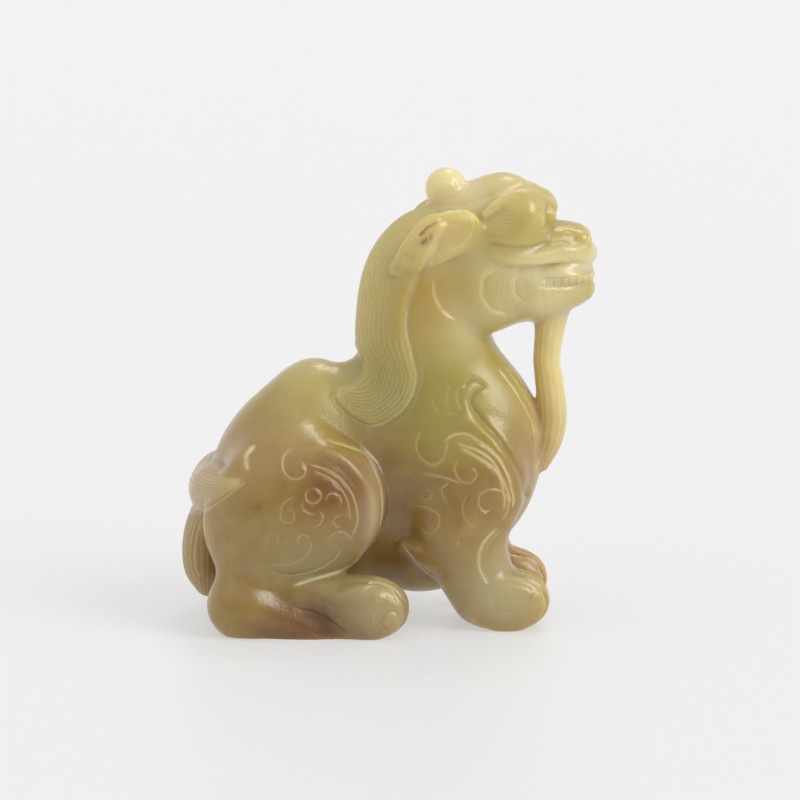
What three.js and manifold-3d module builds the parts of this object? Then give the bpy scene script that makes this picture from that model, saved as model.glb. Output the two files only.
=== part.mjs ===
// A seated qilin, carved in one piece from a pebble of jade.
// Millimetres, +Z up, the head towards +X. The figure is symmetrical about the XZ plane.
// Its form is a set of rounded masses that flow into each other, as a carver rounds a pebble.

import * as THREE from 'three';
import { edgeTable, triTable } from 'three/addons/objects/MarchingCubes.js';
import { mergeVertices } from 'three/addons/utils/BufferGeometryUtils.js';
import Module from 'manifold-3d';

// Driving dimensions
const HEIGHT = 60;            // from the ground to the top of the horn's knob
const KNOB_RADIUS = 2.75;     // the curled knob that ends the horn
const BEARD_RADIUS = 1.9;     // the beard at its middle, front to back
const BEARD_SPREAD = 1.35;    // how much wider the beard is across than front to back
const EAR_THICKNESS = 0.36;   // the ear's thickness as a share of its width
const MANE_RELIEF = 0.6;      // how far the mane stands above the neck
const LOCK_RELIEF = 0.45;     // how far the flame lock stands above the shoulder
const GROOVE_DEPTH = 0.5;     // the deeper carved lines
const STRAND_DEPTH = 0.28;    // the grooves between strands of hair
const UNDERSIDE_CUT = 0.5;    // how much is ground off below the paws to make them stand

// The masses below are placed in sixtieths of the height
const UNIT = HEIGHT / 60;

// Fineness of the faceted solid. The face, ahead of and above its corner, keeps smaller facets.
const CELL = 0.42 * UNIT;
const FACES = 9300;
const FACE_CARE = 3;
const FACE_CORNER = { x: 10 * UNIT, z: 42 * UNIT };

// Keeps a division from going by nothing
const TINY = 1e-9;

const radians = (degrees) => degrees * Math.PI / 180;
const scaled = (values) => values.map((value) => value * UNIT);

// Blends: a union and a cut whose edge is rounded over a width
function join(a, b, width) {
	const share = Math.max(width - Math.abs(a - b), 0) / width;
	return Math.min(a, b) - share * share * width / 4;
}

function cut(a, b, width) {
	return -join(-a, b, width);
}

function ramp(from, to, value) {
	const t = Math.min(Math.max((value - from) / (to - from), 0), 1);
	return t * t * (3 - 2 * t);
}

// A point further than this from a mass gets only a rough distance to it
const REACH = 6 * UNIT;

// How far ahead, aside and up the masses reach, taken down as each is made
const reached = [0, 0, 0];

function takeIn(centre, around) {
	for (let axis = 0; axis < 3; axis++) reached[axis] = Math.max(reached[axis], centre[axis] + around);
}

// An ellipsoid, its long axis tilted up from +X in degrees
function ball(centre, radii, tilt = 0) {
	const [cx, cy, cz] = scaled(centre);
	const [rx, ry, rz] = scaled(radii);
	const cos = Math.cos(radians(tilt));
	const sin = Math.sin(radians(tilt));
	const around = Math.max(rx, ry, rz);
	takeIn([cx, cy, cz], around);
	return (x, y, z) => {
		const dx = x - cx;
		const dy = y - cy;
		const dz = z - cz;
		const gap = Math.sqrt(dx * dx + dy * dy + dz * dz) - around;
		if (gap > REACH) return gap;
		const ux = (dx * cos + dz * sin) / rx;
		const uy = dy / ry;
		const uz = (dz * cos - dx * sin) / rz;
		const near = Math.sqrt(ux * ux + uy * uy + uz * uz);
		const wx = ux / rx;
		const wy = uy / ry;
		const wz = uz / rz;
		return near * (near - 1) / (Math.sqrt(wx * wx + wy * wy + wz * wz) + TINY);
	};
}

// A smooth run through points of any number of values
function smooth(points, steps) {
	const mix = (a, b, share) => a.map((value, i) => value + (b[i] - value) * share);
	const all = [mix(points[0], points[1], -1), ...points, mix(points.at(-1), points.at(-2), -1)];
	const run = [];
	for (let i = 1; i < all.length - 2; i++) {
		for (let step = 0; step < steps; step++) {
			const t = step / steps;
			run.push(all[i].map((value, k) => {
				const [a, c, d] = [all[i - 1][k], all[i + 1][k], all[i + 2][k]];
				const square = 2 * a - 5 * value + 4 * c - d;
				const cube = 3 * value - a - 3 * c + d;
				return (2 * value + (c - a) * t + square * t * t + cube * t * t * t) / 2;
			}));
		}
	}
	run.push(points.at(-1));
	return run;
}

// A tapered tube through points of x, y, z and radius, spread across by a factor in Y
function limb(points, spread = 1, steps = 5) {
	const run = smooth(points.map(scaled), steps).map(([x, y, z, r]) => [x, y / spread, z, r]);
	const middle = run[Math.floor(run.length / 2)];
	const reachOf = ([x, y, z, r]) => Math.hypot(x - middle[0], y - middle[1], z - middle[2]) + r;
	const far = Math.max(...run.map(reachOf));
	const shrink = Math.min(spread, 1);
	for (const [x, y, z, r] of run) takeIn([x, y * spread, z], r * Math.max(spread, 1));
	return (x, y, z) => {
		const py = y / spread;
		const mx = x - middle[0];
		const my = py - middle[1];
		const mz = z - middle[2];
		const away = Math.sqrt(mx * mx + my * my + mz * mz) - far;
		if (away > REACH) return away * shrink;
		let nearest = Infinity;
		for (let i = 0; i < run.length - 1; i++) {
			const [ax, ay, az, ar] = run[i];
			const [bx, by, bz, br] = run[i + 1];
			const dx = bx - ax;
			const dy = by - ay;
			const dz = bz - az;
			const along = ((x - ax) * dx + (py - ay) * dy + (z - az) * dz) / (dx * dx + dy * dy + dz * dz);
			const t = Math.min(Math.max(along, 0), 1);
			const ex = x - ax - t * dx;
			const ey = py - ay - t * dy;
			const ez = z - az - t * dz;
			nearest = Math.min(nearest, Math.sqrt(ex * ex + ey * ey + ez * ez) - ar - t * (br - ar));
		}
		return nearest * shrink;
	};
}

// Masses joined one after another, each over its own blend width
function masses(list) {
	return (x, y, z) => {
		let distance = list[0][0](x, y, z);
		for (let i = 1; i < list.length; i++) {
			distance = join(distance, list[i][0](x, y, z), list[i][1] * UNIT);
		}
		return distance;
	};
}

// The paws and the seat reach a little below the ground, where they are ground off flat
const underside = UNDERSIDE_CUT / UNIT;

// Body: rump, arched back with its hump, barrel, deep chest, belly and the seat between the hind legs
const torso = masses([
	[ball([-12.3, 0, 17.5], [11.4, 11.2, 12.3])],
	[ball([-12.2, 0, 24], [6.4, 8, 9.6], -22), 4.5],
	[ball([-9.7, 0, 29.2], [4.3, 4.5, 4.9], -10), 3.5],
	[ball([-4.9, 0, 30.4], [2.6, 4.2, 2.8]), 2.5],
	[ball([-1, 0, 19.2], [12, 9.3, 11.6]), 5],
	[ball([10.3, 0, 21.8], [9.9, 8.8, 13.6], -8), 4],
	[ball([4, 0, 11.6], [10, 7.4, 8.3]), 3],
	[ball([-11.5, 0, 8.5], [10.5, 9.5, 8.5 + underside]), 3],
]);

const neck = limb([
	[4.6, 0, 24, 9], [5.2, 0, 32, 8.6], [4.8, 0, 39, 8.65], [5.8, 0, 45.4, 8.25], [9.3, 0, 49.2, 6.4],
], 0.9);

// Head: skull, cheeks, lower jaw, chin and cheek bones
const skull = masses([
	[ball([12, 0, 50.2], [9.4, 7, 7.2], 12)],
	[ball([11.6, 2.6, 44.8], [6.4, 4.6, 6.6], 16), 1.8],
	[ball([17, 0, 44.6], [8.2, 5.6, 5], 14), 2],
	[limb([[19.5, 0, 43.4, 3.4], [23.5, 0, 43.9, 2.6], [25.2, 0, 44.1, 1.9]], 1.7), 1.5],
	[ball([15.8, 2.9, 51.8], [5, 4.3, 4], 4), 1.4],
]);

// The horn lies back along the skull and ends in a curled knob
const knobRadius = KNOB_RADIUS / UNIT;
const horn = masses([
	[limb([
		[19.6, 0, 55.4, 1.5], [17.7, 0, 56, 2.1], [15, 0, 56.5, 2.85],
		[11.4, 0, 55.8, 2.6], [8.2, 0, 54.9, 2.6],
	], 1.3)],
	[ball([7.5, 0, HEIGHT / UNIT - knobRadius], [knobRadius, knobRadius, knobRadius]), 0.5],
	[limb([[7.7, 0, 56.6, 2.5], [8, 0, 54.6, 2.8], [8.6, 0, 52.4, 3]]), 0.4],
]);

const brow = limb([
	[12.6, 6, 54.8, 0.5], [14.2, 5.5, 55.9, 0.8], [16.4, 4.4, 56.7, 0.95],
	[18.6, 3.3, 56.4, 1.05], [20.2, 2.3, 55.7, 1.05], [21.1, 1.2, 55, 1],
]);
const upperLip = limb([
	[12.6, 6.4, 50.4, 0.3], [14.2, 6.5, 49.4, 0.65], [16.4, 6.2, 48.9, 0.85], [19, 5.5, 48.9, 0.95],
	[21.5, 4.5, 49.2, 1.15], [23.7, 3.5, 49.3, 1.35], [25.4, 2, 49, 1.45], [25.9, 0, 48.7, 1.5],
]);

// Forehead, the large lobe over the eye, brow, eye, snout, nostril wing and upper lip
const features = masses([
	[ball([19.7, 0, 54.8], [2.3, 2.6, 2.6])],
	[ball([16.6, 3, 53.9], [4, 3.8, 4]), 0.8],
	[ball([18, 3, 53.9], [2.5, 3.7, 3.7]), 0.6],
	[brow, 0.6],
	[ball([20.8, 2.8, 54], [1.1, 1.1, 1.3]), 0.4],
	[limb([[19, 0, 50.2, 3], [22.3, 0, 50.5, 2.5], [24.5, 0, 50.7, 1.95]], 1.8), 0.8],
	[ball([25.1, 2.5, 50.6], [1.5, 1.2, 1.4]), 0.5],
	[upperLip, 0.6],
]);

// The mouth: a shallow slot under the upper lip, above the gum that carries the teeth
const mouth = limb([
	[21, 6.2, 47.4, 0.5], [23.6, 5.5, 47.3, 0.6], [26.2, 3.5, 47, 0.7], [27.6, 0, 46.8, 0.75],
]);
const gum = masses([
	[ball([23, 0, 47], [3, 3.4, 2])],
	[limb([[20.6, 4, 46.4, 1], [23.2, 3.6, 46.5, 1.5], [25, 2.4, 46.4, 1.5], [25.8, 0, 46.3, 1.4]]), 0.5],
]);

const ear = limb([
	[9.3, 6.9, 52.6, 2.9], [7.2, 7.4, 52, 3.1], [4.4, 7.4, 49.9, 2.3],
	[2.3, 6.9, 48.4, 1.2], [0.9, 6.5, 47.5, 0.5],
], EAR_THICKNESS);
const earHollow = ball([8, 9.5, 52.2], [3.2, 1.15, 2.1], 35);

// The beard's middle line, with its radius as a share of the radius at its middle
const beardRun = [
	[21.4, 41.6, 1.3], [21.1, 38, 1.02], [20.8, 34.5, 0.95], [21.2, 31, 1],
	[21.6, 27, 1], [21.2, 23.5, 0.86], [20.2, 20.4, 0.5],
];
const beard = limb(beardRun.map(([x, z, share]) => [x, 0, z, share * BEARD_RADIUS / UNIT]), BEARD_SPREAD);

// Paws: four rounded toes side by side over a rounded core, the outer two toes a little shorter
const PAW_HEIGHT = 3.6;
const TOE_SIDES = [-1.5, -0.5, 0.5, 1.5];
const TOE_SPACING = 1.9;
const TOE_HALF_WIDTH = 1.75;
const TOE_SHORTER = 0.14;
const CORE = { back: 0.6, shorter: 0.8, halfWidth: 4.3, lower: 0.4 };
const TOE_BLEND = 0.25;

function paw(middle, out, length) {
	const height = PAW_HEIGHT + underside;
	const coreSize = [length - CORE.shorter, CORE.halfWidth, height - CORE.lower];
	const core = ball([middle - CORE.back, out, PAW_HEIGHT], coreSize);
	const toes = TOE_SIDES.map((side) => {
		const less = TOE_SHORTER * side * side;
		const centre = [middle - less, out + TOE_SPACING * side, PAW_HEIGHT];
		return [ball(centre, [length - less, TOE_HALF_WIDTH, height - less]), TOE_BLEND];
	});
	return masses([[core], ...toes]);
}

// Legs: the fore legs stand straight, the hind legs are folded under their haunches
const foreLeg = masses([
	[ball([9.8, 5.8, 18.8], [8.2, 5.6, 9.6], -12)],
	[limb([[9, 6.6, 13, 5.8], [10.8, 6.8, 8.5, 5.1], [12.6, 6.8, 4.6, 4.6]], 0.9), 2],
	[limb([[8.5, 6.5, 13, 4.8], [6.4, 7.2, 10.6, 3.2], [4.2, 7.8, 10.7, 1.8], [2, 8.2, 11, 0.6]]), 1],
	[paw(15.7, 6.9, 5.5), 1],
]);

// Haunch and heel in one, the shank and paw set back under the haunch, and the sole that thins out forwards
const heel = limb([
	[-17.6, 10.4, 11, 4.2], [-18.2, 10.9, 7.6, 3.9],
	[-19.7, 11.7, 4, 4.1], [-18.4, 11.9, 3.6, 3.6 + underside],
]);
const shank = limb([[-14, 11.2, 6.6, 3], [-9.5, 11.7, 5.3, 3.2], [-5, 11.9, 4.3, 3.6]]);
const sole = limb([
	[-18.4, 11.9, 3.6, 3.6 + underside], [-14, 12, 2.2, 3.6], [-10.5, 12.3, 0.8, 3], [-6.4, 12.4, -0.6, 2.4],
]);
const hindLeg = masses([
	[ball([-12.4, 9.6, 15.9], [12.3, 6.6, 10.2], 25)],
	[heel, 2.5],
	[masses([[shank], [paw(-2.5, 12, 5.2), 1.2]]), 0.9],
	[sole, 1.5],
]);

// How widely the haunch blends into the body: it stands out in front, and melts into the rump behind
const HAUNCH_BLEND = { front: 0.9, behind: 4 };
function haunchBlend(x, z) {
	const behind = ramp(-5 * UNIT, -12 * UNIT, x) * ramp(18 * UNIT, 24 * UNIT, z);
	return (HAUNCH_BLEND.front + (HAUNCH_BLEND.behind - HAUNCH_BLEND.front) * behind) * UNIT;
}

// Tail: a tuft that comes round the rump to a point on either side, and a lobe that hangs from its middle
const tuft = limb([
	[-22.7, 0, 17.2, 3.85], [-22.2, 4.5, 17.5, 3.8], [-21.2, 9, 18.3, 2.9],
	[-20.2, 11.6, 19.4, 2], [-18.5, 13.3, 20.8, 0.5],
]);
const lobe = limb([[-22.6, 0, 15, 3.2], [-24.1, 0, 11, 3.1], [-24.3, 0, 7.2, 3], [-23.9, 0, 4.6, 2]], 1.7);
const tail = masses([[tuft], [lobe, 0.6]]);

// Carving on the sides is drawn in the XZ plane. A line is a run of x, z points.
function lineDistance(run, x, z) {
	let nearest = Infinity;
	for (let i = 0; i < run.length - 1; i++) {
		const [ax, az] = run[i];
		const dx = run[i + 1][0] - ax;
		const dz = run[i + 1][1] - az;
		const along = ((x - ax) * dx + (z - az) * dz) / (dx * dx + dz * dz);
		const t = Math.min(Math.max(along, 0), 1);
		const ex = x - ax - t * dx;
		const ez = z - az - t * dz;
		nearest = Math.min(nearest, ex * ex + ez * ez);
	}
	return Math.sqrt(nearest);
}

function isInside(run, x, z) {
	let inside = false;
	for (let i = 0; i < run.length; i++) {
		const [ax, az] = run[i];
		const [bx, bz] = run[(i + 1) % run.length];
		if ((az > z) !== (bz > z) && x < (bx - ax) * (z - az) / (bz - az) + ax) inside = !inside;
	}
	return inside;
}

function outlineDistance(run, x, z) {
	return lineDistance([...run, run[0]], x, z) * (isInside(run, x, z) ? -1 : 1);
}

// Points of a spiral that opens from one radius to another as it turns
const SPIRAL_STEP = 20;
function spiral([cx, cz], [fromRadius, toRadius], [fromAngle, toAngle]) {
	const steps = Math.ceil(Math.abs(toAngle - fromAngle) / SPIRAL_STEP);
	return Array.from({ length: steps + 1 }, (_, i) => {
		const share = i / steps;
		const radius = fromRadius + (toRadius - fromRadius) * share;
		const angle = radians(fromAngle + (toAngle - fromAngle) * share);
		return [cx + radius * Math.cos(angle), cz + radius * Math.sin(angle)];
	});
}

// The mane's edges, from the crown down to the tip of the lock that curls back on the shoulder
const maneBack = smooth([
	[7.5, 53.6], [5.4, 55.3], [0, 58.5], [-6, 53], [-8.5, 45], [-8.5, 40], [-5.6, 37.2], [-3.4, 35],
	[-3.5, 33.2], [-4.8, 32], [-6.9, 31.4],
], 5);
const maneFront = smooth([
	[7.5, 53.6], [3.8, 46.5], [2.2, 41], [2.9, 36.5], [3.5, 33], [1.9, 29.3], [-1.8, 27],
	[-5, 27.9], [-7.2, 30], [-6.9, 31.4],
], 5);
const maneOutline = [...maneBack, ...maneFront.slice(1, -1).reverse()];

// Strands of the mane lie between its two edges
const STRANDS = 6;
const backStrand = smooth([
	[4.6, 54.4], [-0.9, 50.6], [-3.4, 45.5], [-4, 40], [-3.6, 35.5], [-3.5, 33.2], [-6.4, 31.2],
], 5);
const frontStrand = smooth([
	[6.6, 51.6], [3.2, 45.5], [2.2, 40.8], [3.1, 35.5], [2.4, 30.2], [-2.6, 27.3], [-6.9, 30],
], 5);
const strands = Array.from({ length: Math.ceil(STRANDS) - 1 }, (_, i) => {
	const share = (i + 1) / STRANDS;
	return backStrand.map((back, k) => back.map((value, axis) => value + (frontStrand[k][axis] - value) * share));
});

// The flame lock on the shoulder: a hooked tip above, broad below, with a deep groove on its chest side
const flameGroove = smooth([
	[9.4, 32.2], [11.2, 32.9], [12.5, 32], [11.1, 31.2], [10.8, 30.2],
	[12, 28.4], [14.6, 25.6], [16.8, 21.4], [17.6, 17],
], 4);
const flameLock = smooth([
	[11.8, 32.2], [10, 31.9], [9.2, 29.6], [8.6, 27], [10.5, 26], [13.6, 23.4], [15.6, 19],
	[16.8, 21.4], [14.4, 25.8], [11.8, 28.6], [10.4, 30.6],
], 4);
const haunchRim = smooth([
	[-8.6, 25.9], [-5.6, 25], [-3, 23.6], [-1.5, 20.9], [-0.9, 18.2], [-1.1, 14.4], [-2.2, 11.4], [-4.6, 9.4],
], 3);
const rearCheekPouch = smooth([
	[14.3, 48], [12.8, 47], [12.3, 45.7], [12.3, 44.3], [12.9, 43], [14, 42], [15.7, 41.5],
], 3);
const frontCheekPouch = smooth([
	[18.6, 48], [17.3, 47.2], [16.6, 45.8], [16.7, 44.2], [17.6, 43.1], [18.9, 42.7],
], 3);
const hornFoot = smooth([[5.4, 55.1], [8, 55.5], [10.7, 55.9], [13.3, 56.7], [16, 57.8], [17.6, 58.4]], 3);
const lowerScroll = smooth([
	[-11.8, 13.6], [-10.8, 14.1], [-10.1, 13.4], [-10.2, 12], [-12, 10.3], [-14.4, 10], [-15.4, 10.3],
], 3);
const middleScroll = smooth([
	[-12.2, 19.3], [-13.7, 18.2], [-14, 16.6], [-13, 15.4], [-12, 16.2], [-12.4, 17.2],
], 3);
const shoulderCurl = smooth([
	[6.9, 25.6], [7.6, 24.9], [7, 23], [5.5, 22.3], [4, 23.4], [3.6, 25], [4.3, 26.8],
], 3);

// Carved lines: run, half width, and how far out in Y the surface is that carries them
const deepLines = [
	[flameGroove, 0.6, 2],
	[smooth([[7.2, 25.2], [8.6, 26.1], [10.6, 26], [14.2, 23.2], [16.2, 18.4], [16.2, 16]], 4), 0.5, 4],
	[smooth([[14.2, 34], [16.6, 30.8], [18.8, 26.8], [19.8, 23.8]], 3), 0.4, 1],
	[spiral([13.2, 17.2], [1, 2.9], [300, -60]), 0.45, 4],
	[shoulderCurl, 0.4, 4],
	[smooth([[1.9, 11.2], [4.6, 7.4], [7.4, 5]], 3), 0.5, 5],
	[smooth([[14.2, 13.9], [12.3, 12], [11.7, 9.6], [12.4, 7.4], [13.2, 6.4]], 3), 0.4, 4],
	[haunchRim, 0.45, 6],
	[smooth([[-10.2, 23.2], [-7, 22], [-4.8, 19.4], [-4, 16], [-4.8, 13.4]], 4), 0.5, 8],
	[spiral([-11.8, 22.9], [0.9, 2.3], [40, -250]), 0.45, 7],
	[rearCheekPouch, 0.5, 3],
	[frontCheekPouch, 0.45, 3],
	[smooth([[5.9, 46.5], [5.9, 44.9], [6.3, 43.6], [7.4, 42], [9.2, 40.8]], 3), 0.45, 3],
	[hornFoot, 0.45, 2],
	[smooth([[8.7, 59], [9.6, 58.4], [9.9, 57.3], [9.3, 56.4]], 3), 0.4, 0],
	[smooth([[19.6, 45.1], [22.4, 44.9], [24.8, 45], [26.9, 45.2]], 3), 0.35, 1],
];
const fineLines = [
	...strands.map((run) => [run, 0.5, 0]),
	[smooth([[-26, 19.6], [-23.2, 19.6], [-18.9, 21]], 3), 0.45, 4],
	[smooth([[-25.8, 17.8], [-23, 18.6], [-19, 20.8]], 3), 0.45, 4],
	[smooth([[-24.6, 15.9], [-23, 17.2], [-21.6, 18.3], [-19.7, 19.9], [-18.4, 21]], 3), 0.5, 8],
	[smooth([[-12.6, 7], [-9.1, 8], [-6.5, 8.5], [-4.6, 9.2]], 3), 0.5, 9],
	[smooth([[-12.4, 4.3], [-9.6, 3.5], [-7.2, 2.2], [-5.2, 1]], 3), 0.5, 11],
	[spiral([-9.7, 19.3], [0.9, 1.1], [120, -240]), 0.35, 8],
	[spiral([-7.6, 18.6], [0.6, 1.7], [150, -40]), 0.35, 8],
	[middleScroll, 0.4, 8],
	[lowerScroll, 0.4, 8],
	[smooth([[-15.7, 9], [-12.6, 8.4], [-9.2, 9.2], [-6.8, 11], [-6.6, 12.4]], 3), 0.4, 8],
	[smooth([[9.2, 23.6], [8.6, 21.8], [9.4, 20.4], [10.6, 20.1], [11.5, 20.9], [11.2, 21.9]], 3), 0.4, 4],
	[smooth([[4.1, 21.1], [7, 20.8], [9.7, 19.9]], 3), 0.4, 4],
	[smooth([[3.3, 16.8], [5.2, 16.6], [6.6, 15.6], [6.3, 13.9], [5, 13.3]], 3), 0.4, 4],
];

// The side carving is worked out once on a plane of small squares and read back between them
const PLANE_STEP = 0.25;
const PLANE_LOW = [-32, -2];
const PLANE_EXTENT = [64, 66];
const planeCounts = PLANE_EXTENT.map((extent) => Math.ceil(extent / PLANE_STEP));

function plane(value) {
	const table = new Float64Array(planeCounts[0] * planeCounts[1]);
	for (let i = 0; i < planeCounts[0]; i++) {
		for (let j = 0; j < planeCounts[1]; j++) {
			const x = PLANE_LOW[0] + i * PLANE_STEP;
			const z = PLANE_LOW[1] + j * PLANE_STEP;
			table[i * planeCounts[1] + j] = value(x, z);
		}
	}
	return (x, z) => {
		const u = Math.min(Math.max((x / UNIT - PLANE_LOW[0]) / PLANE_STEP, 0), planeCounts[0] - 2);
		const w = Math.min(Math.max((z / UNIT - PLANE_LOW[1]) / PLANE_STEP, 0), planeCounts[1] - 2);
		const i = Math.floor(u);
		const j = Math.floor(w);
		const at = i * planeCounts[1] + j;
		const low = table[at] * (1 - u + i) + table[at + planeCounts[1]] * (u - i);
		const high = table[at + 1] * (1 - u + i) + table[at + planeCounts[1] + 1] * (u - i);
		return low * (1 - w + j) + high * (w - j);
	};
}

// A groove's sides run out at this many times its half width
const GROOVE_RUNOUT = 1.6;

function grooves(lines, from, to) {
	const chosen = lines.filter(([, , outward]) => outward >= from && outward < to);
	return plane((x, z) => {
		let depth = 0;
		for (const [run, halfWidth] of chosen) {
			depth = Math.max(depth, ramp(halfWidth * GROOVE_RUNOUT, 0, lineDistance(run, x, z)));
		}
		return depth;
	});
}

const OUTWARD_STEPS = [0, 1.5, 3.5, 5.5, 7.5, 9.5, 20];
const bands = OUTWARD_STEPS.slice(0, -1).map((from, i) => ({
	from: from * UNIT,
	deep: grooves(deepLines, from, OUTWARD_STEPS[i + 1]),
	fine: grooves(fineLines, from, OUTWARD_STEPS[i + 1]),
}));
const mane = plane((x, z) => ramp(0.4, -0.6, outlineDistance(maneOutline, x, z)) * ramp(56.5, 53, z));
const flame = plane((x, z) => ramp(0.3, -0.8, outlineDistance(flameLock, x, z)));

// A line fades out over this much on either side of its least distance out
const FADE = 0.4 * UNIT;

function relief(x, y, z) {
	let height = MANE_RELIEF * mane(x, z) + LOCK_RELIEF * flame(x, z);
	for (const { from, deep, fine } of bands) {
		const share = from > 0 ? ramp(from - FADE, from + FADE, y) : 1;
		if (share > 0) height -= share * (GROOVE_DEPTH * deep(x, z) + STRAND_DEPTH * fine(x, z));
	}
	return height;
}

// Signed distance from the surface of the whole figure, negative inside
function figure(x, side, z) {
	const y = Math.abs(side);
	let d = join(torso(x, y, z), neck(x, y, z), 4 * UNIT);
	d = join(d, foreLeg(x, y, z), 1.2 * UNIT);
	d = join(d, hindLeg(x, y, z), haunchBlend(x, z));
	d = join(d, tail(x, y, z), 0.5 * UNIT);
	let head = join(skull(x, y, z), horn(x, y, z), 0.7 * UNIT);
	head = join(head, features(x, y, z), 0.6 * UNIT);
	head = join(head, gum(x, y, z), 0.5 * UNIT);
	head = cut(head, mouth(x, y, z), 0.4 * UNIT);
	d = join(d, head, UNIT);
	if (Math.abs(d) < 3 * UNIT) d -= relief(x, y, z);
	d = join(d, cut(ear(x, y, z), earHollow(x, y, z), 0.9 * UNIT), 0.8 * UNIT);
	return join(d, beard(x, y, z), 0.8 * UNIT);
}

// Samples the distance on a lattice, only in the blocks of cells that the surface passes through
const BLOCK_EDGE = 3.4 * UNIT;
const BLOCK_REACH = 1.1;      // a block is sampled where its middle is this many edges or less from the surface
const BOX_LOW = [-29, -19, -4];
const NUDGE = 1e-3;           // a corner of the lattice nearer to the surface than this is moved off it
const cells = Math.ceil(BLOCK_EDGE / CELL);
const low = scaled(BOX_LOW);
const blocks = reached.map((far, axis) => Math.ceil((far + BLOCK_EDGE - low[axis]) / CELL / cells));
const nodes = blocks.map((count) => count * cells + 1);
const place = (axis, i) => low[axis] + i * CELL;
const key = (i, j, k) => (i * nodes[1] + j) * nodes[2] + k;
const distances = new Float32Array(nodes[0] * nodes[1] * nodes[2]).fill(NaN);
const crossedBlocks = [];
for (let i = 0; i < blocks[0]; i++) {
	for (let j = 0; j < blocks[1]; j++) {
		for (let k = 0; k < blocks[2]; k++) {
			const corner = [i * cells, j * cells, k * cells];
			const [x, y, z] = corner.map((start, axis) => place(axis, start + cells / 2));
			if (Math.abs(figure(x, y, z)) < cells * CELL * BLOCK_REACH) crossedBlocks.push(corner);
		}
	}
}
for (const [i0, j0, k0] of crossedBlocks) {
	for (let i = i0; i <= i0 + cells; i++) {
		for (let j = j0; j <= j0 + cells; j++) {
			for (let k = k0; k <= k0 + cells; k++) {
				const at = key(i, j, k);
				if (!Number.isNaN(distances[at])) continue;
				const value = figure(place(0, i), place(1, j), place(2, k));
				distances[at] = Math.abs(value) < NUDGE ? Math.sign(value || 1) * NUDGE : value;
			}
		}
	}
}

// Marching cubes: corner offsets, and the two corners of each edge, in the order of the tables
const CORNERS = [[0, 0, 0], [1, 0, 0], [1, 1, 0], [0, 1, 0], [0, 0, 1], [1, 0, 1], [1, 1, 1], [0, 1, 1]];
const EDGES = [[0, 1], [1, 2], [3, 2], [0, 3], [4, 5], [5, 6], [7, 6], [4, 7], [0, 4], [1, 5], [2, 6], [3, 7]];
const positions = [];
const triangles = [];
const edgeVertex = new Map();

function vertexOn(i, j, k, edge) {
	const cell = [i, j, k];
	const direction = EDGES[edge].map((corner) => CORNERS[corner]);
	const [from, to] = direction.map((offsets) => offsets.map((offset, n) => offset + cell[n]));
	const axis = [0, 1, 2].find((a) => direction[0][a] !== direction[1][a]);
	const name = key(...from) * 3 + axis;
	if (!edgeVertex.has(name)) {
		const a = distances[key(...from)];
		const b = distances[key(...to)];
		const share = a / (a - b);
		edgeVertex.set(name, positions.length);
		positions.push(from.map((start, n) => place(n, start + (to[n] - start) * share)));
	}
	return edgeVertex.get(name);
}

for (const [i0, j0, k0] of crossedBlocks) {
	for (let i = i0; i < i0 + cells; i++) {
		for (let j = j0; j < j0 + cells; j++) {
			for (let k = k0; k < k0 + cells; k++) {
				let pattern = 0;
				CORNERS.forEach(([a, b, c], corner) => {
					if (distances[key(i + a, j + b, k + c)] < 0) pattern |= 1 << corner;
				});
				if (edgeTable[pattern] === 0) continue;
				for (let t = pattern * 16; triTable[t] !== -1; t += 3) {
					triangles.push([2, 1, 0].map((n) => vertexOn(i, j, k, triTable[t + n])));
				}
			}
		}
	}
}

// Facets: edges are collapsed one by one where that changes the surface least
class Heap {
	constructor() {
		this.items = [];
	}

	push(item) {
		const { items } = this;
		items.push(item);
		let at = items.length - 1;
		while (at > 0) {
			const up = (at - 1) >> 1;
			if (items[up].cost <= items[at].cost) break;
			[items[up], items[at]] = [items[at], items[up]];
			at = up;
		}
	}

	pop() {
		const { items } = this;
		const top = items[0];
		const last = items.pop();
		if (items.length > 0) {
			items[0] = last;
			let at = 0;
			for (;;) {
				let least = at;
				for (const down of [2 * at + 1, 2 * at + 2]) {
					if (down < items.length && items[down].cost < items[least].cost) least = down;
				}
				if (least === at) break;
				[items[least], items[at]] = [items[at], items[least]];
				at = least;
			}
		}
		return top;
	}
}

const subtract = (a, b) => [a[0] - b[0], a[1] - b[1], a[2] - b[2]];
const cross = (a, b) => [a[1] * b[2] - a[2] * b[1], a[2] * b[0] - a[0] * b[2], a[0] * b[1] - a[1] * b[0]];
const dot = (a, b) => a[0] * b[0] + a[1] * b[1] + a[2] * b[2];
const normalOf = (a, b, c) => cross(subtract(b, a), subtract(c, a));

const AXES = [[1, 0, 0], [0, 1, 0], [0, 0, 1]];
const PULL = 1e-4;            // how weakly each corner holds to its first place
const LEAST_TURN = 0.3;       // cosine of the most that a facet may turn
const LEAST_HEIGHT = 0.04;    // a facet's least height, as a share of its longest side

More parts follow.
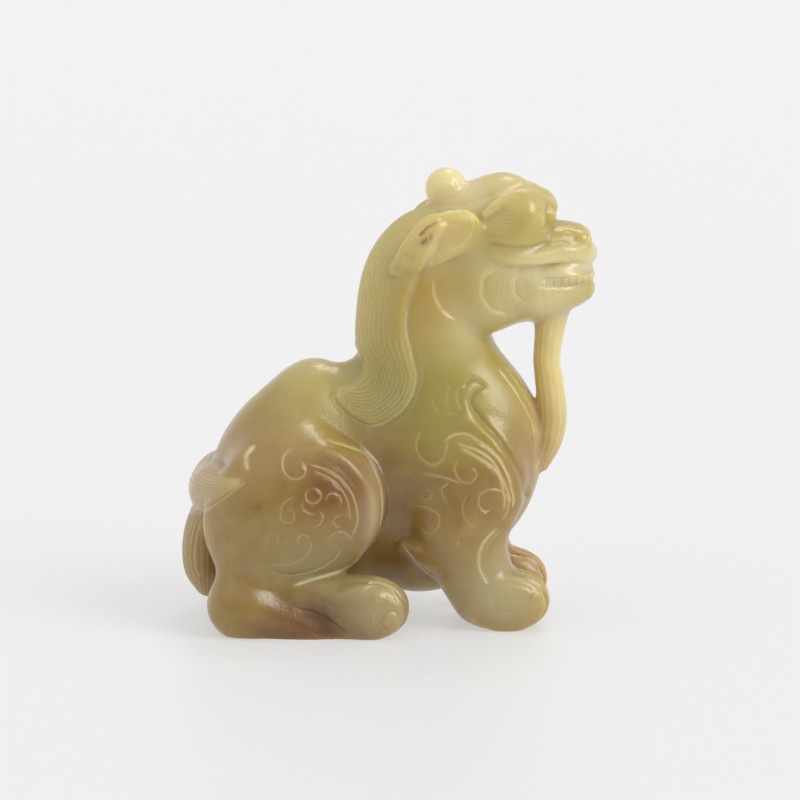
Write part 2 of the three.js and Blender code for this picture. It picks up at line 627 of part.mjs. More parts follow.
function simplify(points, faces, target) {
	const rings = points.map(() => new Set());
	faces.forEach((face, f) => face.forEach((v) => rings[v].add(f)));
	// Each corner keeps the sum of squared distances to its planes, as ten coefficients
	const sums = points.map(() => new Float64Array(10));
	const add = (sum, [a, b, c], d, weight) => {
		const row = [a * a, a * b, a * c, a * d, b * b, b * c, b * d, c * c, c * d, d * d];
		row.forEach((value, i) => { sum[i] += value * weight; });
	};
	faces.forEach((face) => {
		const [a, b, c] = face.map((v) => points[v]);
		const n = normalOf(a, b, c);
		const area = Math.hypot(...n);
		if (area < TINY) return;
		const unit = n.map((value) => value / area);
		const care = a[0] > FACE_CORNER.x && a[2] > FACE_CORNER.z ? FACE_CARE : 1;
		face.forEach((v) => add(sums[v], unit, -dot(unit, a), area * care));
	});
	points.forEach((p, v) => {
		for (const axis of AXES) add(sums[v], axis, -dot(axis, p), PULL * CELL * CELL);
	});

	const error = (q, [x, y, z]) => {
		const squares = q[0] * x * x + q[4] * y * y + q[7] * z * z;
		const products = q[1] * x * y + q[2] * x * z + q[5] * y * z;
		return squares + 2 * products + 2 * (q[3] * x + q[6] * y + q[8] * z) + q[9];
	};

	function best(q, a, b) {
		const c0 = [q[0], q[1], q[2]];
		const c1 = [q[1], q[4], q[5]];
		const c2 = [q[2], q[5], q[7]];
		const d = [-q[3], -q[6], -q[8]];
		const det = dot(c0, cross(c1, c2));
		const middle = a.map((value, i) => (value + b[i]) / 2);
		if (Math.abs(det) > TINY) {
			const p = [dot(d, cross(c1, c2)) / det, dot(c0, cross(d, c2)) / det, dot(c0, cross(c1, d)) / det];
			const span = Math.hypot(...subtract(a, b));
			if (Math.hypot(...subtract(p, middle)) < 2 * span) return p;
		}
		return [middle, a, b].reduce((least, p) => (error(q, p) < error(q, least) ? p : least));
	}

	const version = new Int32Array(points.length);
	const heap = new Heap();
	function offer(a, b) {
		const q = sums[a].map((value, i) => value + sums[b][i]);
		const at = best(q, points[a], points[b]);
		heap.push({ cost: error(q, at), a, b, at, stamp: version[a] + version[b] });
	}
	const neighbours = (v) => {
		const around = new Set();
		for (const f of rings[v]) faces[f].forEach((w) => { if (w !== v) around.add(w); });
		return around;
	};
	points.forEach((_, v) => {
		for (const w of neighbours(v)) if (w > v) offer(v, w);
	});

	function keepsShape(v, other, at) {
		for (const f of rings[v]) {
			const face = faces[f];
			if (face.includes(other)) continue;
			const before = normalOf(...face.map((w) => points[w]));
			const corners = face.map((w) => (w === v ? at : points[w]));
			const after = normalOf(...corners);
			const size = Math.hypot(...after);
			if (dot(before, after) < LEAST_TURN * Math.hypot(...before) * size) return false;
			const sides = corners.map((corner, i) => subtract(corner, corners[(i + 1) % 3]));
			const longest = Math.max(...sides.map((side) => Math.hypot(...side)));
			if (size < LEAST_HEIGHT * longest * longest) return false;
		}
		return true;
	}

	let left = faces.length;
	while (left > target && heap.items.length > 0) {
		const { a, b, at, stamp } = heap.pop();
		if (rings[a].size === 0 || rings[b].size === 0 || stamp !== version[a] + version[b]) continue;
		const around = neighbours(a);
		if (!around.has(b)) continue;
		const shared = [...neighbours(b)].filter((w) => around.has(w));
		if (shared.length !== 2) continue;
		if (!keepsShape(a, b, at) || !keepsShape(b, a, at)) continue;
		for (const f of [...rings[b]]) {
			if (faces[f].includes(a)) {
				faces[f].forEach((v) => rings[v].delete(f));
				faces[f] = null;
				left -= 1;
			} else {
				faces[f] = faces[f].map((v) => (v === b ? a : v));
				rings[a].add(f);
			}
		}
		rings[b].clear();
		points[a] = at;
		sums[b].forEach((value, i) => { sums[a][i] += value; });
		version[a] += 1;
		version[b] += 1;
		for (const w of neighbours(a)) offer(a, w);
	}
	return faces.filter((face) => face !== null);
}

const facets = simplify(positions, triangles, FACES);

// The underside is ground flat, so that the four feet stand on one plane
const wasm = await Module();
wasm.setup();

function toSolid(geometry) {
	return new wasm.Manifold(new wasm.Mesh({
		numProp: 3,
		vertProperties: new Float32Array(geometry.attributes.position.array),
		triVerts: new Uint32Array(geometry.index.array),
	}));
}

function toGeometry(solid) {
	const mesh = solid.getMesh();
	const geometry = new THREE.BufferGeometry();
	geometry.setAttribute('position', new THREE.BufferAttribute(new Float32Array(mesh.vertProperties), 3));
	geometry.setIndex(new THREE.BufferAttribute(new Uint32Array(mesh.triVerts), 1));
	return geometry;
}

const used = [...new Set(facets.flat())];
const renumbered = new Map(used.map((v, i) => [v, i]));
const rough = new THREE.BufferGeometry();
rough.setAttribute('position', new THREE.Float32BufferAttribute(used.flatMap((v) => positions[v]), 3));
rough.setIndex(facets.flat().map((v) => renumbered.get(v)));
const below = new THREE.BoxGeometry(2 * HEIGHT, 2 * HEIGHT, HEIGHT);
below.translate(0, 0, -HEIGHT / 2);
below.deleteAttribute('normal');
below.deleteAttribute('uv');
const stone = toGeometry(toSolid(rough).subtract(toSolid(mergeVertices(below))));

// The origin is on the ground, under the middle of the figure
stone.computeBoundingBox();
const middle = stone.boundingBox.getCenter(new THREE.Vector3());
stone.translate(-middle.x, -middle.y, -stone.boundingBox.min.z);
stone.computeVertexNormals();

const jade = new THREE.MeshStandardMaterial({ color: 0xb5a76c, roughness: 0.28, metalness: 0 });
const qilin = new THREE.Mesh(stone, jade);
qilin.name = 'qilin_figure';

const group = new THREE.Group();
group.add(qilin);
export default group;
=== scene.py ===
"""A seated qilin carved in one piece from a pebble of yellow-green nephrite, 60 mm high."""

import math

import bpy
import numpy as np
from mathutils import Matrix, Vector
from mathutils.kdtree import KDTree


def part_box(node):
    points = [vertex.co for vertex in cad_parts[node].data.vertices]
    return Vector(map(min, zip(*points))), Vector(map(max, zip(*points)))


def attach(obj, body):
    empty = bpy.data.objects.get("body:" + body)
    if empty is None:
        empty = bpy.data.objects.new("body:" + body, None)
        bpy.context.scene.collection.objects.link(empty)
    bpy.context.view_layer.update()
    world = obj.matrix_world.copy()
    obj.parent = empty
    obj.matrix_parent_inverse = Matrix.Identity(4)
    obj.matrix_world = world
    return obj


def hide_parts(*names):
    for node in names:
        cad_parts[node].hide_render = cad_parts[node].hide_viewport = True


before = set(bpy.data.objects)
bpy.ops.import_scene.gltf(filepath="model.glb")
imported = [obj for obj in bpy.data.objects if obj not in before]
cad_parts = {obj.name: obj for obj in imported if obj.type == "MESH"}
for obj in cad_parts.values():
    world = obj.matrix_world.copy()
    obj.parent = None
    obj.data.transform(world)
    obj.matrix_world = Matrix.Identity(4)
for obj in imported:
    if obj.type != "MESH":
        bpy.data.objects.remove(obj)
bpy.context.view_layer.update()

MM = 0.001
HEIGHT = 60.0
GRAIN = 0.25      # cell in which the stone is first shaped, in mm
TRIANGLES = 194_000
REACH = 6.0                               # a mass further off than this, in mm, is only known roughly
FAR = 1e9                                 # further off than anything, in mm
CURVE_STEPS = 8                           # steps between two points of a smooth run

real = np.float32


# Shaping: each mass gives its distance in mm, negative inside the stone

class Spots:
    """Points that lie near each other. Both sides are alike, so y is measured outwards from the middle."""

    def __init__(self, points):
        self.x = points[:, 0].astype(real)
        self.y = np.abs(points[:, 1]).astype(real)
        self.z = points[:, 2].astype(real)
        every = (self.x, self.y, self.z)
        self.low = np.array([v.min() for v in every])
        self.high = np.array([v.max() for v in every])

    def gap_to(self, low, high):
        gap = np.maximum(np.maximum(self.low - high, low - self.high), 0)
        return float(np.sqrt((gap * gap).sum()))

    def all(self, value):
        return np.full(len(self.x), value, real)


def join(a, b, width):
    """Two masses as one, blended over a width."""
    share = np.maximum(width - np.abs(a - b), 0) / width
    return np.minimum(a, b) - share * share * (width / 4)


def cut(a, b, width):
    """The first mass with the second cut out of it."""
    return -join(-a, b, width)


def ramp(start, end, value):
    """Rises softly from 0 at the start to 1 at the end."""
    t = np.clip((value - start) / (end - start), 0, 1)
    return t * t * (3 - 2 * t)


def ball(p, centre, radii, tilt=0.0, turn=0.0):
    """An ellipsoid, its long axis tilted up from +X and turned towards +Y, in degrees."""
    centre = np.array(centre, float)
    radii = np.array(radii, float)
    gap = p.gap_to(centre - radii.max(), centre + radii.max())
    if gap > REACH:
        return p.all(gap)
    dx, dy, dz = p.x - real(centre[0]), p.y - real(centre[1]), p.z - real(centre[2])
    if turn:
        cos, sin = math.cos(math.radians(turn)), math.sin(math.radians(turn))
        dx, dy = dx * cos + dy * sin, dy * cos - dx * sin
    if tilt:
        cos, sin = math.cos(math.radians(tilt)), math.sin(math.radians(tilt))
        dx, dz = dx * cos + dz * sin, dz * cos - dx * sin
    ux, uy, uz = dx / radii[0], dy / radii[1], dz / radii[2]
    near = np.sqrt(ux * ux + uy * uy + uz * uz)
    slope = np.sqrt((ux / radii[0]) ** 2 + (uy / radii[1]) ** 2 + (uz / radii[2]) ** 2) + 1e-6
    return (near * (near - 1) / slope).astype(real)


def smooth(points, steps):
    """A smooth run through points of any number of values."""
    rows = np.array(points, float)
    rows = np.vstack([2 * rows[0] - rows[1], rows, 2 * rows[-1] - rows[-2]])
    run = []
    for a, b, c, d in zip(rows[:-3], rows[1:-2], rows[2:-1], rows[3:]):
        square = 2 * a - 5 * b + 4 * c - d
        cube = 3 * b - a - 3 * c + d
        for t in np.arange(steps) / steps:
            run.append((2 * b + (c - a) * t + square * t**2 + cube * t**3) / 2)
    run.append(rows[-2])
    return np.array(run)


def limb(p, points, spread=1.0):
    """A tapered tube through points of x, y, z and radius, spread across by a factor in Y."""
    run = smooth(points, CURVE_STEPS)
    thick = run[:, 3].max()
    sides = np.array([thick, thick * spread, thick])
    gap = p.gap_to(run[:, :3].min(0) - sides, run[:, :3].max(0) + sides)
    if gap > REACH:
        return p.all(gap)
    y = p.y / real(spread)
    nearest = p.all(FAR)
    for (ax, ay, az, ar), (bx, by, bz, br) in zip(run[:-1], run[1:]):
        dx, dy, dz = bx - ax, (by - ay) / spread, bz - az
        wx, wy, wz = p.x - real(ax), y - real(ay / spread), p.z - real(az)
        length = dx * dx + dy * dy + dz * dz
        t = np.clip(wx * real(dx / length) + wy * real(dy / length) + wz * real(dz / length), 0, 1)
        ex, ey, ez = wx - t * real(dx), wy - t * real(dy), wz - t * real(dz)
        reach = np.sqrt(ex * ex + ey * ey + ez * ez) - (real(ar) + t * real(br - ar))
        nearest = np.minimum(nearest, reach)
    return nearest * real(min(spread, 1.0))


def masses(distance, *others):
    """Masses joined to the first one after another, each over its own width."""
    for mass, width in others:
        distance = join(distance, mass, width)
    return distance


# The figure's masses

KNOB = 2.75              # radius of the round end of the horn
BEARD = 1.9              # radius of the beard where it leaves the chin
BEARD_SPREAD = 1.35      # how much broader than thick it is
EAR_THICKNESS = 0.36     # of an ear, as a share of its height
UNDERSIDE = 0.5          # how much is ground off below the paws to make them stand
PAW_HEIGHT = 3.6         # from the ground to where a paw is widest
TOE_SPACING = 1.9
TOE_HALF_WIDTH = 1.75
TOE_SHORTER = 0.035      # shortens a toe by this, times the square of its half steps from the middle
TOE_BLEND = 0.25


def torso(p):
    return masses(
        ball(p, (-12.3, 0, 17.5), (11.4, 11.2, 12.3)),
        (ball(p, (-12.2, 0, 24), (6.4, 8, 9.6), -22), 4.5),
        (ball(p, (-9.7, 0, 29.2), (4.3, 4.5, 4.9), -10), 3.5),
        (ball(p, (-4.9, 0, 30.4), (2.6, 4.2, 2.8)), 2.5),
        (ball(p, (-1, 0, 19.2), (12, 9.3, 11.6)), 5),
        (ball(p, (10.3, 0, 21.8), (9.9, 8.8, 13.6), -8), 4),
        (ball(p, (4, 0, 11.6), (10, 7.4, 8.3)), 3),
        (ball(p, (-11.5, 0, 8.5), (10.5, 9.5, 8.5 + UNDERSIDE)), 3),
    )


def neck(p):
    run = [(4.6, 0, 24, 9), (5.2, 0, 32, 8.6), (4.8, 0, 39, 8.65), (5.8, 0, 45.4, 8.25), (9.3, 0, 49.2, 6.4)]
    return limb(p, run, 0.9)


def skull(p):
    return masses(
        ball(p, (12, 0, 50.2), (9.4, 7, 7.2), 12),
        (ball(p, (11.6, 2.6, 44.8), (6.4, 4.6, 6.6), 16), 1.8),
        (ball(p, (17, 0, 44.6), (8.2, 5.6, 5), 14), 2),
        (limb(p, [(19.5, 0, 43.4, 3.4), (23.5, 0, 43.9, 2.6), (25.2, 0, 44.1, 1.9)], 1.7), 1.5),
        (ball(p, (15.8, 2.9, 51.8), (5, 4.3, 4), 4), 1.4),
    )


def horn(p):
    run = [(19.6, 0, 55.4, 1.5), (17.7, 0, 56, 2.1), (15, 0, 56.5, 2.85), (11.4, 0, 55.8, 2.6),
           (8.2, 0, 54.9, 2.6)]
    return masses(
        limb(p, run, 1.3),
        (ball(p, (7.5, 0, HEIGHT - KNOB), (KNOB, KNOB, KNOB)), 0.5),
        (limb(p, [(7.7, 0, 56.6, 2.5), (8, 0, 54.6, 2.8), (8.6, 0, 52.4, 3)]), 0.4),
    )


def features(p):
    """Forehead, the large lobe over the eye, brow, eye, snout, nostril wing and upper lip."""
    lip = [(12.6, 6.4, 50.4, 0.3), (14.2, 6.5, 49.4, 0.65), (16.4, 6.2, 48.9, 0.85), (19, 5.5, 48.9, 0.95),
           (21.5, 4.5, 49.2, 1.15), (23.7, 3.5, 49.3, 1.35), (25.4, 2, 49, 1.45), (25.9, 0, 48.7, 1.5)]
    brow = [(12.6, 6, 54.8, 0.5), (14.2, 5.5, 55.9, 0.8), (16.4, 4.4, 56.7, 0.95), (18.6, 3.3, 56.4, 1.05),
            (20.2, 2.3, 55.7, 1.05), (21.1, 1.2, 55, 1)]
    return masses(
        ball(p, (19.7, 0, 54.8), (2.3, 2.6, 2.6)),
        (ball(p, (16.6, 3, 53.9), (4, 3.8, 4)), 0.8),
        (ball(p, (18, 3, 53.9), (2.5, 3.7, 3.7)), 0.6),
        (limb(p, brow), 0.6),
        (ball(p, (20.8, 2.8, 54), (1.1, 1.1, 1.3)), 0.4),
        (limb(p, [(19, 0, 50.2, 3), (22.3, 0, 50.5, 2.5), (24.5, 0, 50.7, 1.95)], 1.8), 0.8),
        (ball(p, (25.1, 2.5, 50.6), (1.5, 1.2, 1.4)), 0.5),
        (limb(p, lip), 0.6),
    )


def head(p):
    mouth = limb(p, [(21, 6.2, 47.4, 0.5), (23.6, 5.5, 47.3, 0.6), (26.2, 3.5, 47, 0.7),
                     (27.6, 0, 46.8, 0.75)])
    gum = limb(p, [(20.6, 4, 46.4, 1), (23.2, 3.6, 46.5, 1.5), (25, 2.4, 46.4, 1.5), (25.8, 0, 46.3, 1.4)])
    gum = join(ball(p, (23, 0, 47), (3, 3.4, 2)), gum, 0.5)
    d = join(skull(p), horn(p), 0.7)
    d = join(d, features(p), 0.6)
    return cut(join(d, gum, 0.5), mouth, 0.4)


def ear(p):
    leaf = [(9.3, 6.9, 52.6, 2.9), (7.2, 7.4, 52, 3.1), (4.4, 7.4, 49.9, 2.3), (2.3, 6.9, 48.4, 1.2),
            (0.9, 6.5, 47.5, 0.5)]
    hollow = ball(p, (8, 9.5, 52.2), (3.2, 1.15, 2.1), 35, 6)
    return cut(limb(p, leaf, EAR_THICKNESS), hollow, 0.9)


def beard(p):
    shares = [(21.4, 41.6, 1.3), (21.1, 38, 1.02), (20.8, 34.5, 0.95), (21.2, 31, 1), (21.6, 27, 1),
              (21.2, 23.5, 0.86), (20.2, 20.4, 0.5)]
    return limb(p, [(x, 0, z, BEARD * share) for x, z, share in shares], BEARD_SPREAD)


def paw(p, middle, out, length):
    """A rounded paw. Its four toes lie side by side, the outer two a little shorter."""
    d = ball(p, (middle - 0.6, out, PAW_HEIGHT), (length - 0.8, 4.3, 3.2 + UNDERSIDE))
    for half_steps in (-3, -1, 1, 3):
        less = TOE_SHORTER * half_steps * half_steps
        centre = (middle - less, out + TOE_SPACING / 2 * half_steps, PAW_HEIGHT)
        d = join(d, ball(p, centre, (length - less, TOE_HALF_WIDTH, PAW_HEIGHT + UNDERSIDE - less)),
                 TOE_BLEND)
    return d


def fore_leg(p):
    return masses(
        ball(p, (9.8, 5.8, 18.8), (8.2, 5.6, 9.6), -12),
        (limb(p, [(9, 6.6, 13, 5.8), (10.8, 6.8, 8.5, 5.1), (12.6, 6.8, 4.6, 4.6)], 0.9), 2),
        (limb(p, [(8.5, 6.5, 13, 4.8), (6.4, 7.2, 10.6, 3.2), (4.2, 7.8, 10.7, 1.8), (2, 8.2, 11, 0.6)]), 1),
        (paw(p, 15.7, 6.9, 5.5), 1),
    )


def hind_leg(p):
    """Haunch and heel in one, the sole that thins out forwards, and the shank and paw set back above it."""
    heel = [(-17.6, 10.4, 11, 4.2), (-18.2, 10.9, 7.6, 3.9), (-19.7, 11.7, 4, 4.1),
            (-18.4, 11.9, 3.6, 3.6 + UNDERSIDE)]
    sole = [(-18.4, 11.9, 3.6, 3.6 + UNDERSIDE), (-14, 12, 2.2, 3.6), (-10.5, 12.3, 0.8, 3),
            (-6.4, 12.4, -0.6, 2.4)]
    shank = [(-14, 11.2, 6.6, 3), (-9.5, 11.7, 5.3, 3.2), (-5, 11.9, 4.3, 3.6)]
    return masses(
        ball(p, (-12.4, 9.6, 15.9), (12.3, 6.6, 10.2), 25),
        (limb(p, heel), 2.5),
        (join(limb(p, shank), paw(p, -2.5, 12, 5.2), 1.2), 0.9),
        (limb(p, sole), 1.5),
    )


def tail(p):
    """A tuft that comes round the rump to a point on either side, over a lobe that hangs down behind."""
    tuft = [(-22.7, 0, 17.2, 3.85), (-22.2, 4.5, 17.5, 3.8), (-21.2, 9, 18.3, 2.9), (-20.2, 11.6, 19.4, 2),
            (-18.5, 13.3, 20.8, 0.5)]
    lobe = [(-22.6, 0, 15, 3.2), (-24.1, 0, 11, 3.1), (-24.3, 0, 7.2, 3), (-23.9, 0, 4.6, 2)]
    return join(limb(p, tuft), limb(p, lobe, 1.7), 0.6)


def figure(p):
    """Distance from the surface of the whole figure, before its carving."""
    d = join(torso(p), neck(p), 4)
    d = join(d, fore_leg(p), 1.2)
    # The haunch stands out in front, and melts into the rump above and behind
    d = join(d, hind_leg(p), 0.9 + 3.1 * ramp(-5, -12, p.x) * ramp(18, 24, p.z))
    d = join(d, tail(p), 0.5)
    d = join(d, head(p), 1)
    d = join(d, ear(p), 0.8)
    d = join(d, beard(p), 0.8)
    return np.maximum(d, -p.z)


# From masses to a mesh of one half of the figure, y from 0 outwards

LOW = np.array([-29.0, -GRAIN / 2, -1.0])     # corner of the sampled box
SIZE = np.array([58.0, 18.6, 62.5])
BLOCK = 8                                     # cells along a block
GROUP = 4                                     # blocks along a group whose middles are tried together
BLOCK_REACH = 1.3                             # a block is sampled if the surface is under this many edges off
AWAY = 9.0                                    # stands for the distance in the blocks that aren't sampled
KEY = np.array([10_000, 100, 1])              # turns the place of a block into one number


def sampled():
    """Distances on a lattice, only worked out in the blocks near the surface."""
    edge = GRAIN * BLOCK
    blocks = (np.ceil(SIZE / edge / GROUP) * GROUP).astype(int)
    middles = [LOW[i] + (np.arange(blocks[i]) + 0.5) * edge for i in range(3)]
    coarse = np.zeros(blocks, real)
    for i in range(0, blocks[0], GROUP):
        for k in range(0, blocks[2], GROUP):
            part = np.meshgrid(middles[0][i:i + GROUP], middles[1], middles[2][k:k + GROUP], indexing="ij")
            points = np.stack(part, -1).reshape(-1, 3)
            coarse[i:i + GROUP, :, k:k + GROUP] = figure(Spots(points)).reshape(part[0].shape)
    values = np.where(coarse > 0, AWAY, -AWAY).astype(real)
    for axis in range(3):
        values = np.repeat(values, BLOCK, axis)
    steps = np.stack(np.meshgrid(*[np.arange(BLOCK)] * 3, indexing="ij"), -1).reshape(-1, 3)
    near = np.argwhere(np.abs(coarse) < edge * BLOCK_REACH)
    keys = (near // 2) @ KEY
    near = near[np.argsort(keys, kind="stable")]
    breaks = np.flatnonzero(np.diff(np.sort(keys))) + 1
    for some in np.split(near, breaks):
        cells = (some[:, None, :] * BLOCK + steps[None]).reshape(-1, 3)
        values[tuple(cells.T)] = figure(Spots(LOW + cells * GRAIN))
    return values


def netted(values):
    """A vertex in each cell that the surface crosses, and a face round each edge that it crosses."""
    inside = values < 0
    counts = np.array(inside.shape) - 1
    full = np.ones(counts, bool)
    empty = np.ones(counts, bool)
    corners = [(a, b, c) for a in (0, 1) for b in (0, 1) for c in (0, 1)]
    for a, b, c in corners:
        part = inside[a:a + counts[0], b:b + counts[1], c:c + counts[2]]
        full &= part
        empty &= ~part
    cells = np.argwhere(~(full | empty))
    index = np.full(counts, -1, np.int32)
    index[tuple(cells.T)] = np.arange(len(cells))
    total = np.zeros((len(cells), 3))
    count = np.zeros(len(cells))
    for axis in range(3):
        for corner in corners:
            if corner[axis]:
                continue
            start = np.array(corner)
            end = start.copy()
            end[axis] = 1
            v0, v1 = values[tuple((cells + start).T)], values[tuple((cells + end).T)]
            crossed = (v0 < 0) != (v1 < 0)
            share = np.where(crossed, v0 / np.where(crossed, v0 - v1, 1), 0)
            place = (cells + start).astype(float)
            place[:, axis] += share
            total += place * crossed[:, None]
            count += crossed
    points = LOW + total / count[:, None] * GRAIN
    faces = []
    for axis in range(3):
        u, w = [(1, 2), (2, 0), (0, 1)][axis]
        first = [slice(None)] * 3
        second = [slice(None)] * 3
        first[axis], second[axis] = slice(0, -1), slice(1, None)
        edges = np.argwhere(inside[tuple(first)] != inside[tuple(second)])
        fits = (edges[:, u] > 0) & (edges[:, w] > 0) & (edges[:, u] < counts[u]) & (edges[:, w] < counts[w])
        edges = edges[fits]
        leaving = inside[tuple(edges.T)]
        ring = []
        for du, dw in ((-1, -1), (0, -1), (0, 0), (-1, 0)):
            cell = edges.copy()
            cell[:, u] += du
            cell[:, w] += dw
            ring.append(index[tuple(cell.T)])
        ring = np.stack(ring, 1)
        faces.append(np.where(leaving[:, None], ring, ring[:, ::-1]))
    return points, np.vstack(faces)


def split(points, faces):
    """Each face of four corners becomes four."""
    sides = np.stack([faces, np.roll(faces, -1, 1)], -1).reshape(-1, 2)
    sides.sort(axis=1)
    unique, back = np.unique(sides[:, 0].astype(np.int64) * len(points) + sides[:, 1], return_inverse=True)
    a, b = unique // len(points), unique % len(points)
    middles = (points[a] + points[b]) / 2
    centres = points[faces].mean(1)
    edge = back.reshape(faces.shape) + len(points)
    centre = np.arange(len(faces)) + len(points) + len(unique)
    parts = [np.stack([faces[:, i], edge[:, i], centre, edge[:, i - 1]], 1) for i in range(4)]
    return np.vstack([points, middles, centres]), np.vstack(parts)


NEIGHBOURHOOD = 5.0      # edge of the boxes of points that are worked out together, in mm
OFFSET = 50              # keeps their numbers positive
PROBE = 0.03             # step over which the surface's slope is read
LEAST_SLOPE = 0.05       # squared, where two masses meet in a crease
LONGEST_MOVE = 0.3


def settled(points):
    """The points moved onto the surface, with its outward direction at each."""
    keys = np.floor((points + OFFSET) / NEIGHBOURHOOD).astype(int) @ KEY
    order = np.argsort(keys, kind="stable")
    breaks = np.flatnonzero(np.diff(keys[order])) + 1
    moved = points.copy()
    outward = np.zeros_like(points)
    for some in np.split(order, breaks):
        at = points[some]
        probed = np.vstack([at, at + (PROBE, 0, 0), at + (0, PROBE, 0), at + (0, 0, PROBE)])
        distance, *ahead = figure(Spots(probed)).reshape(4, -1).astype(float)
        slope = np.stack([beyond - distance for beyond in ahead], 1) / PROBE
        steep = np.maximum((slope * slope).sum(1), LEAST_SLOPE)
        moved[some] = at - np.clip(distance / steep, -LONGEST_MOVE, LONGEST_MOVE)[:, None] * slope
        outward[some] = slope / np.sqrt(steep)[:, None]
    moved[:, 1] = np.where(np.abs(points[:, 1]) < 1e-6, 0, moved[:, 1])
    return moved, outward


def point_normals(points, faces):
    """Outward direction at each point of a mesh of faces with four corners, weighted by area."""
    a, b, c, d = (points[faces[:, i]] for i in range(4))
    across = np.cross(c - a, d - b)
    total = np.stack([sum(np.bincount(faces[:, i], across[:, axis], len(points)) for i in range(4))
                      for axis in range(3)], 1)
    return total / np.maximum(np.linalg.norm(total, axis=1), 1e-12)[:, None]


# Carving: relief on the surface, in mm, drawn on the side (x, z) and pressed onto it

def spiral(centre, radii, angles, steps=30):
    """Points of a spiral that opens from one radius to another as it turns between two angles in degrees."""
    share = np.linspace(0, 1, steps)
    radius = radii[0] + (radii[1] - radii[0]) * share
    angle = np.radians(angles[0] + (angles[1] - angles[0]) * share)
    return np.stack([centre[0] + radius * np.cos(angle), centre[1] + radius * np.sin(angle)], 1)


def from_run(x, z, run):
    """Distance from a run of x, z points, negative on its right-hand side, and the way along it in mm."""
    nearest = np.full(len(x), FAR)
    side = np.ones(len(x))
    along = np.zeros(len(x))
    lengths = np.hypot(*(run[1:] - run[:-1]).T)
    start = 0.0
    for (ax, az), (bx, bz), length in zip(run[:-1], run[1:], lengths):
        dx, dz = bx - ax, bz - az
        wx, wz = x - ax, z - az
        t = np.clip((wx * dx + wz * dz) / (length * length + 1e-12), 0, 1)
        away = np.hypot(wx - t * dx, wz - t * dz)
        closer = away < nearest
        nearest = np.where(closer, away, nearest)
        side = np.where(closer, np.sign(dx * wz - dz * wx), side)
        along = np.where(closer, start + t * length, along)
        start += length
    return nearest * np.where(side == 0, 1, side), along, start


def within(x, z, ring):
    """True for the points inside a closed run."""
    inside = np.zeros(len(x), bool)
    for (ax, az), (bx, bz) in zip(ring, np.roll(ring, -1, 0)):
        if az != bz:
            inside ^= ((az > z) != (bz > z)) & (x < (bx - ax) * (z - az) / (bz - az) + ax)
    return inside


class Skin:
    """The surface of one half before carving, and the relief given to it."""

    def __init__(self, points, outward):
        self.x, self.y, self.z = points.T
        self.out = outward
        self.raised = np.zeros(len(points))
        self.cut = np.zeros(len(points))
        self.shown = {shade: np.zeros(len(points)) for shade in ("pale_and_glint", "dark_flaw_and_shade", "own")}

    def window(self, run, margin, out):
        low, high = run.min(0) - margin, run.max(0) + margin
        return np.flatnonzero((self.x > low[0]) & (self.x < high[0]) & (self.z > low[1]) & (self.z < high[1])
                              & (self.y > out - 0.5))

    def side(self, at, out):
        """How fully a drawing made from the side reaches these points."""
        shown = ramp(0.02, 0.22, np.abs(self.out[at, 1]))
        return shown * (ramp(out - 0.5, out + 0.5, self.y[at]) if out > 0 else 1)

    def groove(self, at, deep, shows="pale_and_glint"):
        """Cuts a groove: pale with painted highlight along its edges and the rough floor of the cut, darker
        with painted shade in it, or in its own colour.
        """
        self.cut[at] = np.maximum(self.cut[at], deep)
        self.shown[shows][at] = np.maximum(self.shown[shows][at], deep)

    def line(self, run, width, depth, out=0.0, left=None, taper=1.0, shows="pale_and_glint"):
        """A cut along a run, its slopes as wide as the width given. The left one may have its own."""
        run = np.asarray(run, float)
        left = width if left is None else left
        at = self.window(run, max(left, width), out)
        away, along, length = from_run(self.x[at], self.z[at], run)
        share = np.clip(1 - np.where(away > 0, away / left, -away / width), 0, 1)
        ends = ramp(0, taper, along) * ramp(0, taper, length - along)
        self.groove(at, depth * share**1.7 * np.sqrt(ends) * self.side(at, out), shows)

    def curve(self, points, *sizes, **more):
        self.line(smooth(points, CURVE_STEPS), *sizes, **more)

    def ridge(self, points, width, height, out):
        """Raises a rounded ridge along a run."""
        run = smooth(points, CURVE_STEPS)
        at = self.window(run, width, out)
        away, along, length = from_run(self.x[at], self.z[at], run)
        ends = ramp(0, 2, along) * ramp(0, 2, length - along)
        self.raised[at] += height * ramp(width, 0, np.abs(away)) * ends * self.side(at, out)

    def swell(self, ring, height, edge, out=0.0):
        """Raises what lies inside a closed run, with a rounded edge."""
        ring = np.asarray(ring, float)
        at = self.window(ring, 1.0, out)
        away = np.abs(from_run(self.x[at], self.z[at], np.vstack([ring, ring[:1]]))[0])
        inward = np.where(within(self.x[at], self.z[at], ring), away, -away)
        self.raised[at] += height * ramp(-0.2, edge, inward) * self.side(at, out)


FULL_MARK = 0.2          # depth at which a groove shows its colour in full
MANE_RELIEF = 0.6
LOCK_RELIEF = 0.45
MANE_BACK = [(7.5, 53.6), (5.4, 55.3), (0, 58.5), (-6, 53), (-8.5, 45), (-8.5, 40), (-5.6, 37.2),
             (-3.4, 35), (-3.5, 33.2), (-4.8, 32), (-6.9, 31.4)]
MANE_FRONT = [(7.5, 53.6), (3.8, 46.5), (2.2, 41), (2.9, 36.5), (3.5, 33), (1.9, 29.3), (-1.8, 27),
              (-5, 27.9), (-7.2, 30), (-6.9, 31.4)]
HAIRS = 13
HAIR_DEPTH = 0.2
TAIL_HAIR_DEPTH = 0.15
BEARD_HAIR_DEPTH = 0.16
TAIL_LOCKS = 11
TAIL_STRANDS = 6
FUR_STROKES = 10


